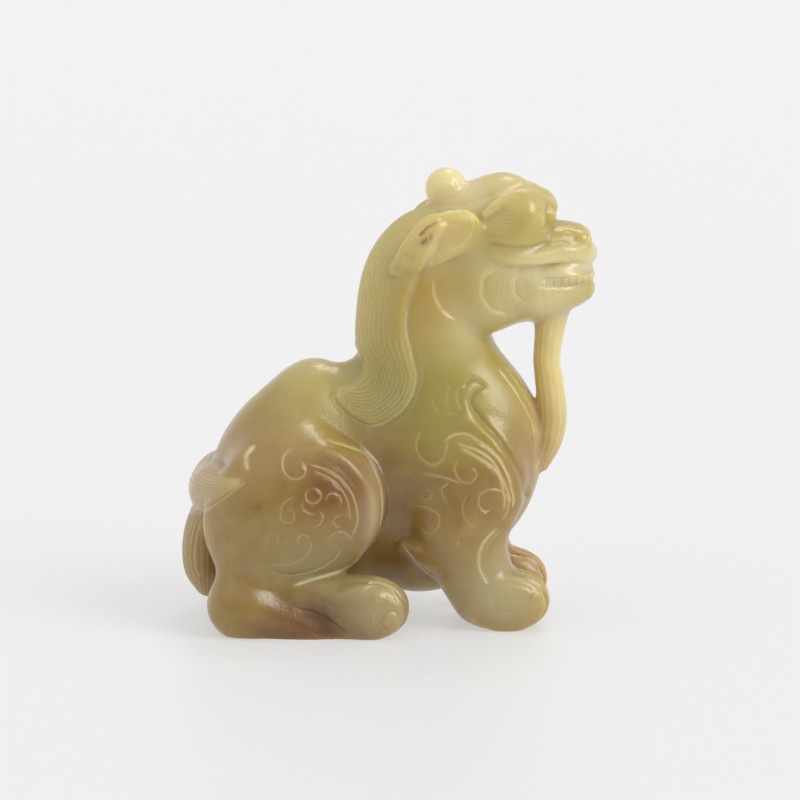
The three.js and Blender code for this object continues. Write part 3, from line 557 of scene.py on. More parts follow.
def carve_mane(skin):
    back, front = smooth(MANE_BACK, 6), smooth(MANE_FRONT, 6)
    ring = np.vstack([back, front[-2:0:-1]])
    at = skin.window(ring, 1.0, 0.0)
    x, z = skin.x[at], skin.z[at]
    to_ring = np.abs(from_run(x, z, np.vstack([ring, ring[:1]]))[0])
    inward = np.where(within(x, z, ring), to_ring, -to_ring)
    fade = ramp(56.5, 53, z)
    skin.raised[at] += MANE_RELIEF * ramp(-0.4, 0.6, inward) * fade
    # Hairs lie side by side from the nape to the front edge, and below from the lock's back edge to it
    axis = np.interp(z, [24, 33, 40, 46, 49.6, 53, 56], [4.6, 5.1, 5.1, 6.5, 9.2, 12, 14])
    lean = np.interp(z, [40, 46, 50, 54], [0.0, 0.25, 0.6, 0.9])
    behind = (axis - x) * np.cos(lean)
    round_neck = np.arctan2(behind, skin.y[at] / 0.9)
    edge = np.interp(z, [30, 36, 41, 46, 50, 54], np.radians([10, 14, 18, 24, 30, 30]))
    around = (math.pi / 2 - round_neck) / (math.pi / 2 - edge)
    back_edge = smooth([(-4, 40), (-3.4, 35), (-3.5, 33.2), (-4.8, 32), (-7.2, 31.2)], 6)
    to_back = np.abs(from_run(x, z, back_edge)[0])
    to_front = np.abs(from_run(x, z, front[12:])[0])
    across = to_back / (to_back + to_front + 1e-6)
    share = across + (around - across) * ramp(33, 38.5, z)
    wave = np.abs(np.sin(math.pi * HAIRS * share))
    strength = ramp(0.1, 0.7, inward) * fade * ramp(-0.02, 0.03, share) * ramp(1.0, 0.96, share)
    # The hairs die out towards the front of the neck below the ear
    quiet = ramp(0.5, 0.8, around) * ramp(37, 40, z)
    skin.groove(at, HAIR_DEPTH * (1 - wave) ** 2 * strength * (1 - 0.75 * quiet))
    skin.line(front[10:-2], 0.16, 0.18, left=0.4)
    skin.curve([(2.5, 40.4), (3.9, 37), (4.5, 33.6), (3.2, 29.8), (0.4, 26.8)], 0.15, 0.1)
    skin.curve([(-4.4, 37.4), (-3.4, 35), (-3.5, 33.2), (-4.8, 32), (-7.2, 31.2)], 0.18, 0.14, left=0.5)


def carve_shoulder(skin):
    lock = [(11.8, 32.2), (10, 31.9), (9.2, 29.6), (8.6, 27), (10.5, 26), (13.6, 23.4), (15.6, 19),
            (16.8, 21.4), (14.4, 25.8), (11.8, 28.6), (10.4, 30.6)]
    skin.swell(smooth(lock, 6), LOCK_RELIEF, 1.8)
    skin.curve([(9.6, 32.1), (11.2, 32.9), (12.5, 32), (11.3, 31.3), (10.8, 30.3), (12, 28.3), (14.6, 25.4),
                (17, 21.4), (18.1, 16.4)], 0.5, 0.3, left=0.3, shows="own")
    skin.curve([(12, 31.8), (11, 30.6), (10.9, 29.6), (12.4, 27.6), (15, 24.8), (17.4, 20.8), (18.3, 16.4)],
               0.9, 0.35, left=0.6, shows="own")
    # Two lines that follow the chest's edge
    skin.curve([(14.2, 34), (16.6, 30.8), (18.8, 26.8), (19.7, 23.6)], 0.18, 0.16)
    skin.curve([(15, 34.3), (17.4, 30.9), (19.5, 26.9), (20.2, 24.2)], 0.18, 0.14)
    for run in ([(8.3, 32.7), (7.6, 31.3), (7.9, 29.7)], [(9.3, 32.4), (8.9, 30.8), (9.6, 28.9)],
                [(5.6, 31), (6, 29.6), (6.6, 28.6)], [(7.2, 28.6), (8.4, 28.7), (9.6, 28.5)]):
        skin.curve(run, 0.16, 0.12, out=2)
    # Lock that turns back at the foot of the neck
    skin.curve([(6.9, 25.6), (7.6, 24.9), (7, 23), (5.5, 22.3), (4, 23.4), (3.6, 25), (4.3, 26.8)],
               0.21, 0.16, out=4)
    for run in ([(7.2, 25.2), (8.6, 26.1), (10.6, 26), (14.2, 23.2), (16.2, 18.4), (16.2, 16)],
                [(8.8, 25.2), (13.2, 23.2), (15.6, 18.4), (15.7, 16.6)],
                [(9.2, 24.7), (13.8, 21.8), (15.1, 18), (15, 16)]):
        skin.curve(run, 0.21, 0.22, out=3, left=0.45)
    skin.curve([(9.2, 23.6), (8.6, 21.8), (9.4, 20.4), (10.6, 20.1), (11.5, 20.9), (11.2, 21.9),
                (10.4, 22.1)], 0.19, 0.17, out=4)
    for run in ([(4.1, 21.1), (7, 20.8), (9.7, 19.9)], [(8, 20.2), (6.9, 19.1), (7.6, 17.2)],
                [(3.3, 16.8), (5.2, 16.6), (6.6, 15.6), (6.3, 13.9), (5, 13.3), (4.2, 13.9)]):
        skin.curve(run, 0.19, 0.19, out=4)
    skin.line(spiral((5.1, 18.5), (0.25, 0.9), (200, -180)), 0.16, 0.14, out=4)
    skin.line(spiral((13.2, 17.2), (0.7, 2.9), (300, -60)), 0.21, 0.2, out=4)
    skin.curve([(10.4, 18.6), (9.6, 16.8), (10.2, 15), (11.6, 14)], 0.18, 0.13, out=4)
    # A small star of four strokes over the elbow
    for turn in range(12, 192, 45):
        dx, dz = 0.9 * math.cos(math.radians(turn)), 0.9 * math.sin(math.radians(turn))
        skin.line([(9 - dx, 12.2 - dz), (9 + dx, 12.2 + dz)], 0.15, 0.1, out=4, taper=0.8)
    skin.curve([(14.2, 13.9), (12.3, 12), (11.7, 9.6), (12.4, 7.4), (13.2, 6.4)], 0.22, 0.19, out=4, left=0.7)
    skin.curve([(15.2, 13.6), (13.4, 12.2), (12.6, 10.6)], 0.18, 0.12, out=4)
    skin.curve([(1.9, 11.2), (4.6, 7.4), (7.4, 5)], 0.26, 0.22, out=5)


def carve_haunch(skin):
    # A rim runs round the front of the haunch, inside a groove
    skin.curve([(-8.6, 25.9), (-5.6, 25), (-3, 23.6), (-1.5, 20.9), (-0.9, 18.2), (-1.1, 14.4),
                (-2.2, 11.4), (-4.6, 9.4)], 0.16, 0.19, out=6, left=0.34)
    skin.ridge([(-10.4, 25.2), (-6.6, 24.1), (-3.6, 21.2), (-2.3, 18), (-2.2, 14.6), (-3.4, 11.6)],
               1.3, 0.32, out=7)
    skin.curve([(-10.2, 23.2), (-7, 22), (-4.8, 19.4), (-4, 16), (-4.8, 13.4)], 0.21, 0.22, out=8)
    skin.curve([(-9.6, 22.4), (-7, 21), (-5.4, 18.6), (-4.9, 15.6)], 0.19, 0.19, out=8)
    skin.line(spiral((-11.8, 22.9), (0.6, 2.3), (80, -250)), 0.21, 0.19, out=7)
    skin.line(spiral((-9.7, 19.3), (0.9, 1.1), (120, -240)), 0.18, 0.19, out=8)
    skin.line(spiral((-7.6, 18.6), (0.2, 1.7), (200, -40)), 0.18, 0.17, out=8)
    for run in ([(-11.4, 18.6), (-11, 17.5), (-10, 16.9), (-9.3, 17)],
                [(-9.2, 17.4), (-8.5, 16.6), (-8.9, 15.5), (-10, 15.1)],
                [(-5.8, 16.6), (-6.9, 16.3), (-7, 15.4), (-6.1, 14.8)]):
        skin.curve(run, 0.18, 0.19, out=8)
    skin.line(spiral((-13, 16.6), (0.7, 1.1), (120, -230)), 0.18, 0.17, out=8)
    skin.curve([(-12.2, 19.3), (-13.7, 18.2), (-14, 16.6)], 0.18, 0.16, out=8)
    skin.line(spiral((-11.2, 13.2), (0.5, 1.1), (230, 10)), 0.18, 0.16, out=8)
    skin.curve([(-10.1, 13.4), (-10.2, 12), (-12, 10.3), (-14.4, 10), (-15.4, 10.3)], 0.19, 0.16, out=8)
    skin.line(spiral((-15.2, 13.5), (0.2, 1), (60, -400)), 0.15, 0.14, out=8)
    skin.curve([(-8, 13), (-7.2, 14.1), (-5.8, 14.3), (-4.5, 12.9)], 0.18, 0.17, out=8)
    skin.curve([(-15.7, 9), (-12.6, 8.4), (-9.2, 9.2), (-6.8, 11), (-6.6, 12.4)], 0.18, 0.13, out=8)
    skin.curve([(-17.4, 25.1), (-18.6, 23.8), (-18.3, 22)], 0.5, 0.35, out=3)
    # Fold between the thigh and the shank
    skin.curve([(-12.6, 7), (-9.1, 8), (-6.5, 8.5), (-4.6, 9.2)], 0.4, 0.25, out=9)


def carve_tail(skin):
    for share in np.linspace(0, 1, TAIL_LOCKS):
        skin.curve([(-26.4, 21.4 - 5.4 * share), (-24.4, 20.9 - 4 * share), (-22, 20.9 - 2.2 * share),
                    (-18.9, 21.1 - 0.3 * share)], 0.24, 0.14, out=3)
    skin.curve([(-24.6, 15.9), (-23, 17.2), (-21.6, 18.3), (-19.7, 19.9), (-18.4, 21)], 0.22, 0.22, out=8,
               left=0.2)
    for x in np.linspace(-27, -23.4, TAIL_STRANDS):
        skin.curve([(x * 0.4 - 24.4 * 0.6, 14.6), (x, 11), (x + 0.1, 7.5), (x * 0.6 - 23.9 * 0.4, 3.4)],
                   0.21, 0.09, out=1)
    back = np.flatnonzero((skin.x < -22) & (skin.y < 6) & (skin.out[:, 0] < -0.35))
    low = ramp(14.8, 13.4, skin.z[back])
    strand = np.abs(np.sin(math.pi * (skin.y[back] / 0.72 + 0.5)))
    skin.groove(back, TAIL_HAIR_DEPTH * (1 - strand) ** 1.6 * low * ramp(2.4, 3.6, skin.z[back]))
    lock = np.abs(np.sin(math.pi * (skin.z[back] - 0.03 * skin.y[back] ** 2) / 0.78))
    skin.groove(back, TAIL_HAIR_DEPTH * (1 - lock) ** 1.6 * (1 - low) * ramp(21.4, 20.4, skin.z[back]))


def carve_head(skin):
    # Two pouches of the cheek, each with finer lines inside its edge
    skin.curve([(14.3, 48), (12.8, 47), (12.3, 45.7), (12.3, 44.3), (12.9, 43), (14, 42), (15.7, 41.5)],
               0.55, 0.4, out=3, left=0.25)
    for inset in (0.75, 1.45, 2.1):
        skin.curve([(14.6 + inset * 0.4, 46.9), (13.2 + inset, 45.7), (12.9 + inset, 44.4),
                    (13.6 + inset, 43.1), (15.4 + inset * 0.6, 42.1)], 0.16, 0.09, out=3)
    skin.curve([(18.6, 48), (17.3, 47.2), (16.6, 45.8), (16.7, 44.2), (17.6, 43.1), (18.9, 42.7)],
               0.5, 0.36, out=3, left=0.25)
    skin.curve([(19, 46.9), (17.8, 45.8), (17.7, 44.5), (18.6, 43.6)], 0.18, 0.1, out=3)
    skin.curve([(5.9, 46.5), (5.9, 44.9), (6.3, 43.6), (7.4, 42), (9.2, 40.8)], 0.4, 0.3, out=3, taper=2)
    # Horn, knob and brow
    skin.curve([(5.4, 55.1), (8, 55.5), (10.7, 55.9), (13.3, 56.7), (16, 57.8), (17.6, 58.4)], 0.4, 0.36,
               out=1.6)
    skin.curve([(8.7, 59), (9.6, 58.4), (9.9, 57.3), (9.3, 56.4)], 0.22, 0.18)
    skin.line(spiral((7.3, 57.6), (0.5, 1.7), (300, -60)), 0.15, 0.08)
    # Lids of the eye, seen nearly on edge
    skin.curve([(19.6, 52.4), (20.4, 52.6), (21.3, 53)], 0.18, 0.18, out=1.5)
    skin.curve([(19.7, 55), (20.2, 54), (19.8, 52.8)], 0.22, 0.22, out=2.4)
    skin.curve([(20.6, 55.4), (21.3, 55), (22, 54.9)], 0.18, 0.18, out=1)
    skin.curve([(21, 50.3), (22.6, 50.8), (24.6, 50.2), (26.6, 50.2)], 0.22, 0.16, out=1.2)
    skin.line(spiral((25.4, 50.9), (0.25, 0.85), (150, 420)), 0.15, 0.14, out=1)
    skin.curve([(22.8, 52.1), (24, 51.9), (24.4, 51)], 0.18, 0.09, out=1.5)
    # Teeth between the lips, in a row that rises forwards
    skin.curve([(19.6, 45.1), (22.4, 44.9), (24.8, 45), (26.9, 45.2)], 0.16, 0.2, out=1)
    # The line under the teeth and the gaps between them are darker with painted shade
    skin.curve([(20, 46.2), (22.4, 46.2), (24.8, 46.4), (26.9, 46.5)], 0.13, 0.08, out=1, shows="dark_flaw_and_shade")
    for x in (20.5, 21.5, 22.5, 23.5, 24.5, 25.4, 26.2):
        skin.line([(x, 46.3), (x + 0.05, 45)], 0.13, 0.1, out=1.2, taper=0.2, shows="dark_flaw_and_shade")
    # Dip between the cheek bone and the lip
    skin.curve([(12.6, 51.2), (15.6, 50.5), (18.6, 50.4), (21.2, 50.9)], 0.7, 0.3, out=3, shows="own")
    # Fine strokes of fur over the side of the eye lobe
    for row in range(FUR_STROKES):
        z = 50.4 + 0.5 * row
        skin.curve([(12.9 + 0.05 * row, z + 0.1), (14.6, z + 0.15), (16.4 + 0.25 * (row % 3), z + 0.05)],
                   0.13, 0.05, out=4)


def carve_ear(skin):
    skin.curve([(10.2, 55.4), (11, 54.6), (11.1, 53.3), (10.5, 51.8), (9.3, 50.8), (7.4, 50.1)], 0.26, 0.17,
               out=6.5, left=0.25)
    skin.curve([(6.8, 51.4), (6, 50.2), (5.6, 49), (5.7, 47.9)], 0.5, 0.2, out=6.5, left=0.2)
    skin.curve([(2.4, 49.7), (3.9, 51.9), (5.3, 53.7), (7.4, 54.7), (9, 55)], 0.18, 0.1, out=6.5)


def carve_beard(skin):
    at = np.flatnonzero((skin.z < 40.5) & (skin.z > 20) & (skin.x > 17.6) & (skin.y < 4.2))
    x, y, z = skin.x[at], skin.y[at], skin.z[at]
    middle = np.interp(z, [20.8, 23.5, 27, 31, 34.5, 38, 41.6], [20, 21.1, 21.6, 21.2, 20.5, 20.8, 21.4])
    round_beard = np.arctan2(y / BEARD_SPREAD, x - middle)
    strand = np.abs(np.sin(round_beard * 7 + 0.22 * np.sin(z * 0.4)))
    skin.groove(at, BEARD_HAIR_DEPTH * (1 - strand) ** 1.6 * ramp(40.5, 38.5, z))


def carve_paws(skin):
    # Toe of the fore paw, and its claw
    skin.line(spiral((15.2, 4.6), (1.6, 1.5), (170, 320)), 0.3, 0.1, out=8, shows="own")
    # The claw's cut is darker with painted shade
    skin.curve([(18.8, 5.2), (18.4, 4.8), (18.5, 4.2)], 0.2, 0.2, out=7, left=0.4, shows="dark_flaw_and_shade")
    skin.curve([(13.6, 6.3), (15.6, 6.8), (17.8, 6.2), (19, 5.4)], 0.35, 0.14, out=8, shows="own")
    # Toe of the hind paw, its knuckle, and the crease where the foot is tucked in above the sole
    skin.swell(spiral((0.3, 2.7), (1.2, 1.2), (0, 340), 20), 0.25, 0.6, out=12)
    skin.line(spiral((0.3, 2.7), (1.35, 1.2), (20, 330)), 0.2, 0.1, out=12, shows="own")
    skin.curve([(-1.3, 4.6), (-1.9, 3.2), (-1.7, 1.9), (-1, 0.9)], 0.2, 0.08, out=12)
    skin.swell(spiral((-1.4, 5.9), (0.8, 0.8), (0, 340), 20), 0.2, 0.6, out=12)
    skin.curve([(-3.6, 6.6), (-1.8, 7.3), (0.2, 6.6), (1.4, 5)], 0.3, 0.16, out=11)
    # The crease above the sole is darker with painted shade
    skin.curve([(-12.4, 4.3), (-9.6, 3.5), (-7.2, 2.2), (-5.2, 1)], 0.35, 0.2, out=11, shows="dark_flaw_and_shade")


def carved_half():
    points, faces = netted(sampled())
    points, _ = settled(points)
    points, faces = split(points, faces)
    points, outward = settled(points)
    skin = Skin(points, outward)
    for carve in (carve_mane, carve_shoulder, carve_haunch, carve_tail,
                  carve_head, carve_ear, carve_beard, carve_paws):
        carve(skin)
    ground = ramp(0.05, 0.5, points[:, 2])
    moved = points + outward * ((skin.raised - skin.cut) * ground)[:, None]
    moved[:, 1] = np.where(points[:, 1] == 0, 0, np.maximum(moved[:, 1], 0))
    moved[:, 2] = np.maximum(moved[:, 2], 0)
    # Shares of the grooves' colour: pale with painted highlight and the rough floor of the cut, darker with
    # painted shade
    return moved, faces, np.clip(np.stack([skin.shown["pale_and_glint"], skin.shown["dark_flaw_and_shade"]], 1) / FULL_MARK, 0, 1)


def to_mesh(name, points, triangles):
    mesh = bpy.data.meshes.new(name)
    mesh.vertices.add(len(points))
    mesh.vertices.foreach_set("co", points.astype(real).ravel())
    mesh.loops.add(triangles.size)
    mesh.loops.foreach_set("vertex_index", triangles.astype(np.int32).ravel())
    mesh.polygons.add(len(triangles))
    starts = np.arange(0, triangles.size, triangles.shape[1], dtype=np.int32)
    mesh.polygons.foreach_set("loop_start", starts)
    mesh.update(calc_edges=True)
    return mesh


def thinned(points, faces, triangles):
    """The half mesh with its flat places in larger triangles."""
    corners = np.vstack([faces[:, [0, 1, 2]], faces[:, [0, 2, 3]]])
    piece = bpy.data.objects.new("half", to_mesh("half", points, corners))
    bpy.context.scene.collection.objects.link(piece)
    fewer = piece.modifiers.new("fewer", "DECIMATE")
    fewer.ratio = triangles / len(corners)
    shown = piece.evaluated_get(bpy.context.evaluated_depsgraph_get()).to_mesh()
    count = len(shown.vertices)
    co = np.zeros(count * 3, real)
    shown.vertices.foreach_get("co", co)
    shown.calc_loop_triangles()
    kept = np.zeros(len(shown.loop_triangles) * 3, np.int32)
    shown.loop_triangles.foreach_get("vertices", kept)
    piece.to_mesh_clear()
    mesh = piece.data
    bpy.data.objects.remove(piece)
    bpy.data.meshes.remove(mesh)
    return co.reshape(-1, 3).astype(float), kept.reshape(-1, 3)


def stone():
    """The whole carved figure: points, triangles, outward directions, and the colour of its grooves, pale
    with painted highlight and the rough floor of the cut, darker with painted shade.
    """
    points, faces, marks = carved_half()
    normals = point_normals(points, faces)
    few, triangles = thinned(points, faces, TRIANGLES // 2)
    sides = np.sort(np.stack([triangles, np.roll(triangles, -1, 1)], -1).reshape(-1, 2), axis=1)
    keys, uses = np.unique(sides[:, 0].astype(np.int64) * len(few) + sides[:, 1], return_counts=True)
    rim = np.unique(np.concatenate([keys[uses == 1] // len(few), keys[uses == 1] % len(few)]))
    few[rim, 1] = 0
    tree = KDTree(len(points))
    for i, point in enumerate(points):
        tree.insert(point, i)
    tree.balance()
    nearest = np.array([tree.find(point)[1] for point in few])
    few_normals = normals[nearest]
    few_normals[rim, 1] = 0
    few_marks = marks[nearest]
    # The other half
    off_middle = np.setdiff1d(np.arange(len(few)), rim)
    other = np.arange(len(few))
    other[off_middle] = len(few) + np.arange(len(off_middle))
    mirror = np.array([1, -1, 1])
    both = np.vstack([few, few[off_middle] * mirror])
    both_normals = np.vstack([few_normals, few_normals[off_middle] * mirror])
    every = np.vstack([triangles, other[triangles][:, ::-1]])
    return both, every, both_normals, np.concatenate([few_marks, few_marks[off_middle]])


points, triangles, normals, marks = stone()

cad_low, cad_high = (np.array(corner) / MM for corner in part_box("qilin_figure"))
low, high = points.min(0), points.max(0)
shift = (cad_low + cad_high) / 2 - (low + high) / 2
shift[2] = cad_low[2] - low[2]
qilin = bpy.data.objects.new("qilin", to_mesh("qilin", (points + shift) * MM, triangles))
bpy.context.scene.collection.objects.link(qilin)
qilin.data.shade_smooth()
lengths = np.maximum(np.linalg.norm(normals, axis=1), 1e-9)
qilin.data.normals_split_custom_set_from_vertices(normals / lengths[:, None])


def keep_on_points(name, values):
    """Keeps how much of a colour the stone has at each point, from 0 to 1."""
    attribute = qilin.data.attributes.new(name, "FLOAT", "POINT")
    attribute.data.foreach_set("value", np.clip(values, 0, 1).astype(real))


def patch(centre, radii):
    """A soft patch of the stone, strongest at its centre."""
    away = (points - np.array(centre)) / np.array(radii)
    return np.exp(-(away * away).sum(1))


def low_down(start, end):
    return ramp(start, end, points[:, 2])


def shade_between_toes(start, out):
    """Painted shade where the toes of a paw part, from the x where they start."""
    off = np.min([np.abs(np.abs(points[:, 1]) - out - TOE_SPACING * side) for side in (-1, 0, 1)], 0)
    ends = ramp(start, start + 2, points[:, 0]) * ramp(start + 10, start + 9, points[:, 0])
    return np.exp(-((off / 0.3) ** 2)) * ends * low_down(8, 7)


def flaw(run, out, width):
    """A crack or stain on the near side, along a run of x, z points."""
    away = np.abs(from_run(points[:, 0], points[:, 2], np.array(run, float))[0])
    return np.exp(-((away / width) ** 2)) * (points[:, 1] < -out)


# Patches of colour in the stone and of painted light and shade on it: centre, radii and strength
PATCHES = {
    # Painted shade along the foot of the near sole, where it meets the floor
    "dark_flaw_and_shade": [((-10, -15.5, 0.8), (8, 3, 1.3), 0.9)],
    "brown": [((18, 0, 24), (5, 12, 6), 0.4), ((-14, -9, 25), (8, 7, 4.5), 0.5)],
    # Dark brown of the stone, with painted shade in the hollow between haunch and foreleg, under the belly,
    # in the gap between the paws and low on both soles
    "umber_and_shade": [((-1.5, -9, 18), (5, 8, 8), 1), ((-1.5, 9, 18), (5, 8, 8), 1), ((2, 0, 8), (9, 8, 6), 0.55),
              ((-10, -14, 3), (8, 4, 2.6), 1.3), ((-9, 14, 3.4), (7, 4, 3), 1),
              ((2.8, -12, 3.5), (1.1, 7, 4), 0.8), ((-25, 0, 8), (3, 7, 6), 0.6),
              ((-7.8, -15, 20.4), (2.6, 3, 2.6), 0.7)],
    "russet": [((-8, -14.5, 19.8), (4.8, 5, 4.2), 1.1), ((11, -11, 18), (5, 5, 5), 0.35),
               ((-7, 15, 22), (6, 6, 6), 0.6)],
    "moss": [((3, -7, 30), (13, 12, 8), 0.9), ((5, 9, 28), (10, 8, 9), 0.7),
             ((-9, -13, 11.5), (10, 8, 4.5), 0.8)],
    "sage": [((-3.5, -14, 4.8), (6, 4, 3.5), 0.9), ((-8, -13, 11), (9, 7, 4), 0.5),
             ((14, -10, 6), (5, 4, 4), 0.6), ((0, -12, 30), (5, 6, 4), 0.4)],
    "buff": [((-21, 0, 21), (7, 12, 10), 0.9), ((19, 0, 24), (5, 6, 9), 0.5),
             ((-1.6, -13, 16), (1.8, 5, 7), 0.8), ((16, 7, 5), (6, 5, 5), 1),
             ((5.6, -12, 9), (3, 4, 4), 0.5)],
    "amber": [((6, -8, 44), (4, 4, 5), 0.9), ((5, 8, 43), (5, 4, 6), 0.8)],
    # Straw of the stone, with painted glow on the top of the knob
    "straw": [((21.5, 0, 33), (3.5, 4, 12), 1), ((7, 0, 58), (5, 5, 4), 1), ((6, -8, 52), (5, 4, 4), 0.6),
              ((0, 0, 45), (7, 12, 9), 0.25), ((16, 0, 53.5), (5, 9, 4), 0.4)],
    # Cream of the stone, with painted highlight on the upper lip and the paws and painted glow on the crown
    # and knob
    "cream_and_highlight": [((21, 0, 48), (9, 9, 2.4), 1), ((20, -5, 43), (6, 5, 4.5), 0.6), ((13, 0, 57), (6, 7, 3), 0.7),
              ((7.5, 0, 58), (3, 3, 3), 0.7), ((-1.5, -14, 4), (4, 4, 4), 0.35),
              ((15, -10, 5), (5, 4, 4), 0.4), ((-10, 0, 33), (5, 5, 5), 0.4),
              ((-1.6, -13, 17), (1.6, 5, 6), 0.35), ((10.5, -7, 40), (4, 4, 4), 0.35)],
}
# Cracks and stains of the near side, and a russet band along the foot of its sole: a run of x, z points, how
# far out they lie, half width and strength
FLAWS = {
    "dark_flaw_and_shade": [([(4.1, 52.4), (5, 53.4), (6.2, 54.1)], 5, 0.16, 1), ([(4.5, 51.5), (5.4, 52)], 5, 0.28, 1),
             ([(2.1, 49.8), (3.1, 49.4)], 5, 0.15, 0.4), ([(1, 47.9), (1.2, 47.8)], 5, 0.15, 0.4),
             ([(-17.3, 18), (-16.9, 17.4)], 8, 0.25, 0.7)],
    "russet": [([(4.3, 51.6), (5.6, 52.4)], 5, 1, 0.5), ([(-16, 0.3), (-8, 0.3)], 8, 1.6, 0.8)],
}
# Darker grooves and the parts between the toes carry painted shade; the brown lower down is the stone's own
ELSEWHERE = {
    "dark_flaw_and_shade": marks[:, 1] * 0.8,
    "brown": low_down(31, 17) * 0.75,
    "umber_and_shade": (shade_between_toes(12.6, 6.9) + shade_between_toes(-4.5, 12)) * 0.8,
}
# Pale grooves: painted highlight along their edges, with the pale rough floor of the cut
keep_on_points("pale_and_glint", marks[:, 0] ** 1.4 * 0.9)
for name, patches in PATCHES.items():
    amount = sum(patch(centre, radii) * strength for centre, radii, strength in patches)
    amount += sum(flaw(run, out, width) * strength for run, out, width, strength in FLAWS.get(name, []))
    keep_on_points(name, amount + ELSEWHERE.get(name, 0))


def linear(hex_colour):
    """An sRGB hex colour in Blender's linear values."""
    parts = [int(hex_colour[i:i + 2], 16) / 255 for i in (1, 3, 5)]
    return [v / 12.92 if v <= 0.04045 else ((v + 0.055) / 1.055) ** 2.4 for v in parts] + [1.0]


def add(tree, kind, settings=None, **links):
    """Adds a node. Settings go to its values or sockets, and links join its sockets to others' outputs."""
    node = tree.nodes.new(kind)
    for name, value in (settings or {}).items():
        if name in node.inputs:
            node.inputs[name].default_value = value
        elif name.isdigit():
            node.inputs[int(name)].default_value = value
        else:
            setattr(node, name, value)
    for name, source in links.items():
        socket = node.inputs[int(name[1:])] if name[0] == "_" else node.inputs[name.replace("_", " ")]
        tree.links.new(source, socket)
    return node


def new_material(name):
    material = bpy.data.materials.new(name)
    material.use_nodes = True
    material.node_tree.nodes.clear()
    return material, material.node_tree


HONEY = "#B19B42"
STRAW = "#C4B266"
# Where the stone changes colour, and where light and shade are painted on it, what it turns to, and the share
# of it that the cloudy wisps take away
TONES = [
    ("moss", "#A39843", 0.4),
    ("brown", "#926B37", 0.45),
    ("sage", "#9C966E", 0.35),
    ("buff", "#B89567", 0.3),
    ("umber_and_shade", "#7A4F1E", 0.35),
    ("russet", "#87560F", 0.45),
    ("amber", "#B8912E", 0.4),
    ("straw", "#EAD69C", 0.25),
    ("cream_and_highlight", "#EDE4BA", 0.25),
    ("pale_and_glint", "#F3E6B4", 0.45),
    ("dark_flaw_and_shade", "#6E4A22", 0.5),
]

# Nephrite jade, carved, then polished with wax: a cloudy, slightly see-through stone with a soft greasy gloss
jade, tree = new_material("nephrite_yellow_green")
place = add(tree, "ShaderNodeTexCoord").outputs["Object"]
clouds = add(tree, "ShaderNodeTexNoise", {
    "Scale": 1 / (14 * MM), "Detail": 4.0, "Roughness": 0.55,
}, Vector=place).outputs["Fac"]
wisps = add(tree, "ShaderNodeTexNoise", {
    "Scale": 1 / (4 * MM), "Detail": 6.0, "Roughness": 0.62, "Distortion": 1.2,
}, Vector=place).outputs["Fac"]
cloud_share = add(tree, "ShaderNodeMapRange", {"From Min": 0.35, "From Max": 0.68}, Value=clouds).outputs[0]
colour = add(tree, "ShaderNodeMix", {"data_type": "RGBA", "6": linear(HONEY),
                                     "7": linear(STRAW)}, _0=cloud_share).outputs[2]
for name, tone, uneven in TONES:
    amount = add(tree, "ShaderNodeAttribute", {"attribute_name": name}).outputs["Fac"]
    broken = add(tree, "ShaderNodeMapRange", {"From Min": 0.3, "From Max": 0.7, "To Min": 1 - uneven,
                                              "To Max": 1.0}, Value=wisps).outputs[0]
    share = add(tree, "ShaderNodeMath", {"operation": "MULTIPLY", "use_clamp": True}, _0=amount,
                _1=broken).outputs[0]
    colour = add(tree, "ShaderNodeMix", {"data_type": "RGBA", "7": linear(tone)}, _0=share,
                 _6=colour).outputs[2]

# Marks left by polishing, drawn at 0.35 mm: coarser than real ones, which would be too fine to show
fine = add(tree, "ShaderNodeTexNoise", {"Scale": 1 / (0.35 * MM), "Detail": 3.0, "Roughness": 0.6},
           Vector=place).outputs["Fac"]
broad = add(tree, "ShaderNodeTexNoise", {"Scale": 1 / (2.2 * MM), "Detail": 2.0}, Vector=place).outputs["Fac"]
dimples = add(tree, "ShaderNodeBump", {"Strength": 0.8, "Distance": 0.07 * MM}, Height=fine).outputs[0]
waves = add(tree, "ShaderNodeBump", {"Strength": 0.5, "Distance": 0.08 * MM}, Height=broad,
            Normal=dimples).outputs[0]
gloss = add(tree, "ShaderNodeMapRange", {"To Min": 0.17, "To Max": 0.32}, Value=wisps).outputs[0]
shader = add(tree, "ShaderNodeBsdfPrincipled", {
    "IOR": 1.61, "Coat Weight": 0.2, "Coat Roughness": 0.1, "Coat IOR": 1.5,
    "Subsurface Weight": 1.0, "Subsurface Radius": (1.0, 0.88, 0.4), "Subsurface Scale": 4.6 * MM,
}, Base_Color=colour, Roughness=gloss, Normal=waves)
add(tree, "ShaderNodeOutputMaterial", Surface=shader.outputs[0])
qilin.data.materials.append(jade)

# Sheet of opal acrylic, faintly lit from below, so that shadows on it stay pale
acrylic, tree = new_material("opal_acrylic_sheet")
haze = add(tree, "ShaderNodeTexNoise", {"Scale": 1 / (3 * MM), "Detail": 3.0},
           Vector=add(tree, "ShaderNodeTexCoord").outputs["Object"]).outputs["Fac"]
tint = add(tree, "ShaderNodeMix", {"data_type": "RGBA", "6": linear("#A1A1A1"),
                                   "7": linear("#A4A4A4")}, _0=haze).outputs[2]
shader = add(tree, "ShaderNodeBsdfPrincipled", {
    "Roughness": 0.45, "Specular IOR Level": 0.3,
    "Emission Color": linear("#FFFFFF"), "Emission Strength": 0.45,
}, Base_Color=tint)
add(tree, "ShaderNodeOutputMaterial", Surface=shader.outputs[0])
floor_mesh = to_mesh("floor", np.array([(-3, -3, 0), (3, -3, 0), (3, 3, 0), (-3, 3, 0)]),
                     np.array([(0, 1, 2, 3)]))
floor = bpy.data.objects.new("floor", floor_mesh)
bpy.context.scene.collection.objects.link(floor)
floor.data.materials.append(acrylic)

ELEVATION = math.radians(10.5)
MM_PER_PIXEL = 0.132
PICTURE = 800
DISTANCE = 0.8
FIGURE_MIDDLE = Vector((1.45 * MM + shift[0] * MM, 0, 29.0 * MM))

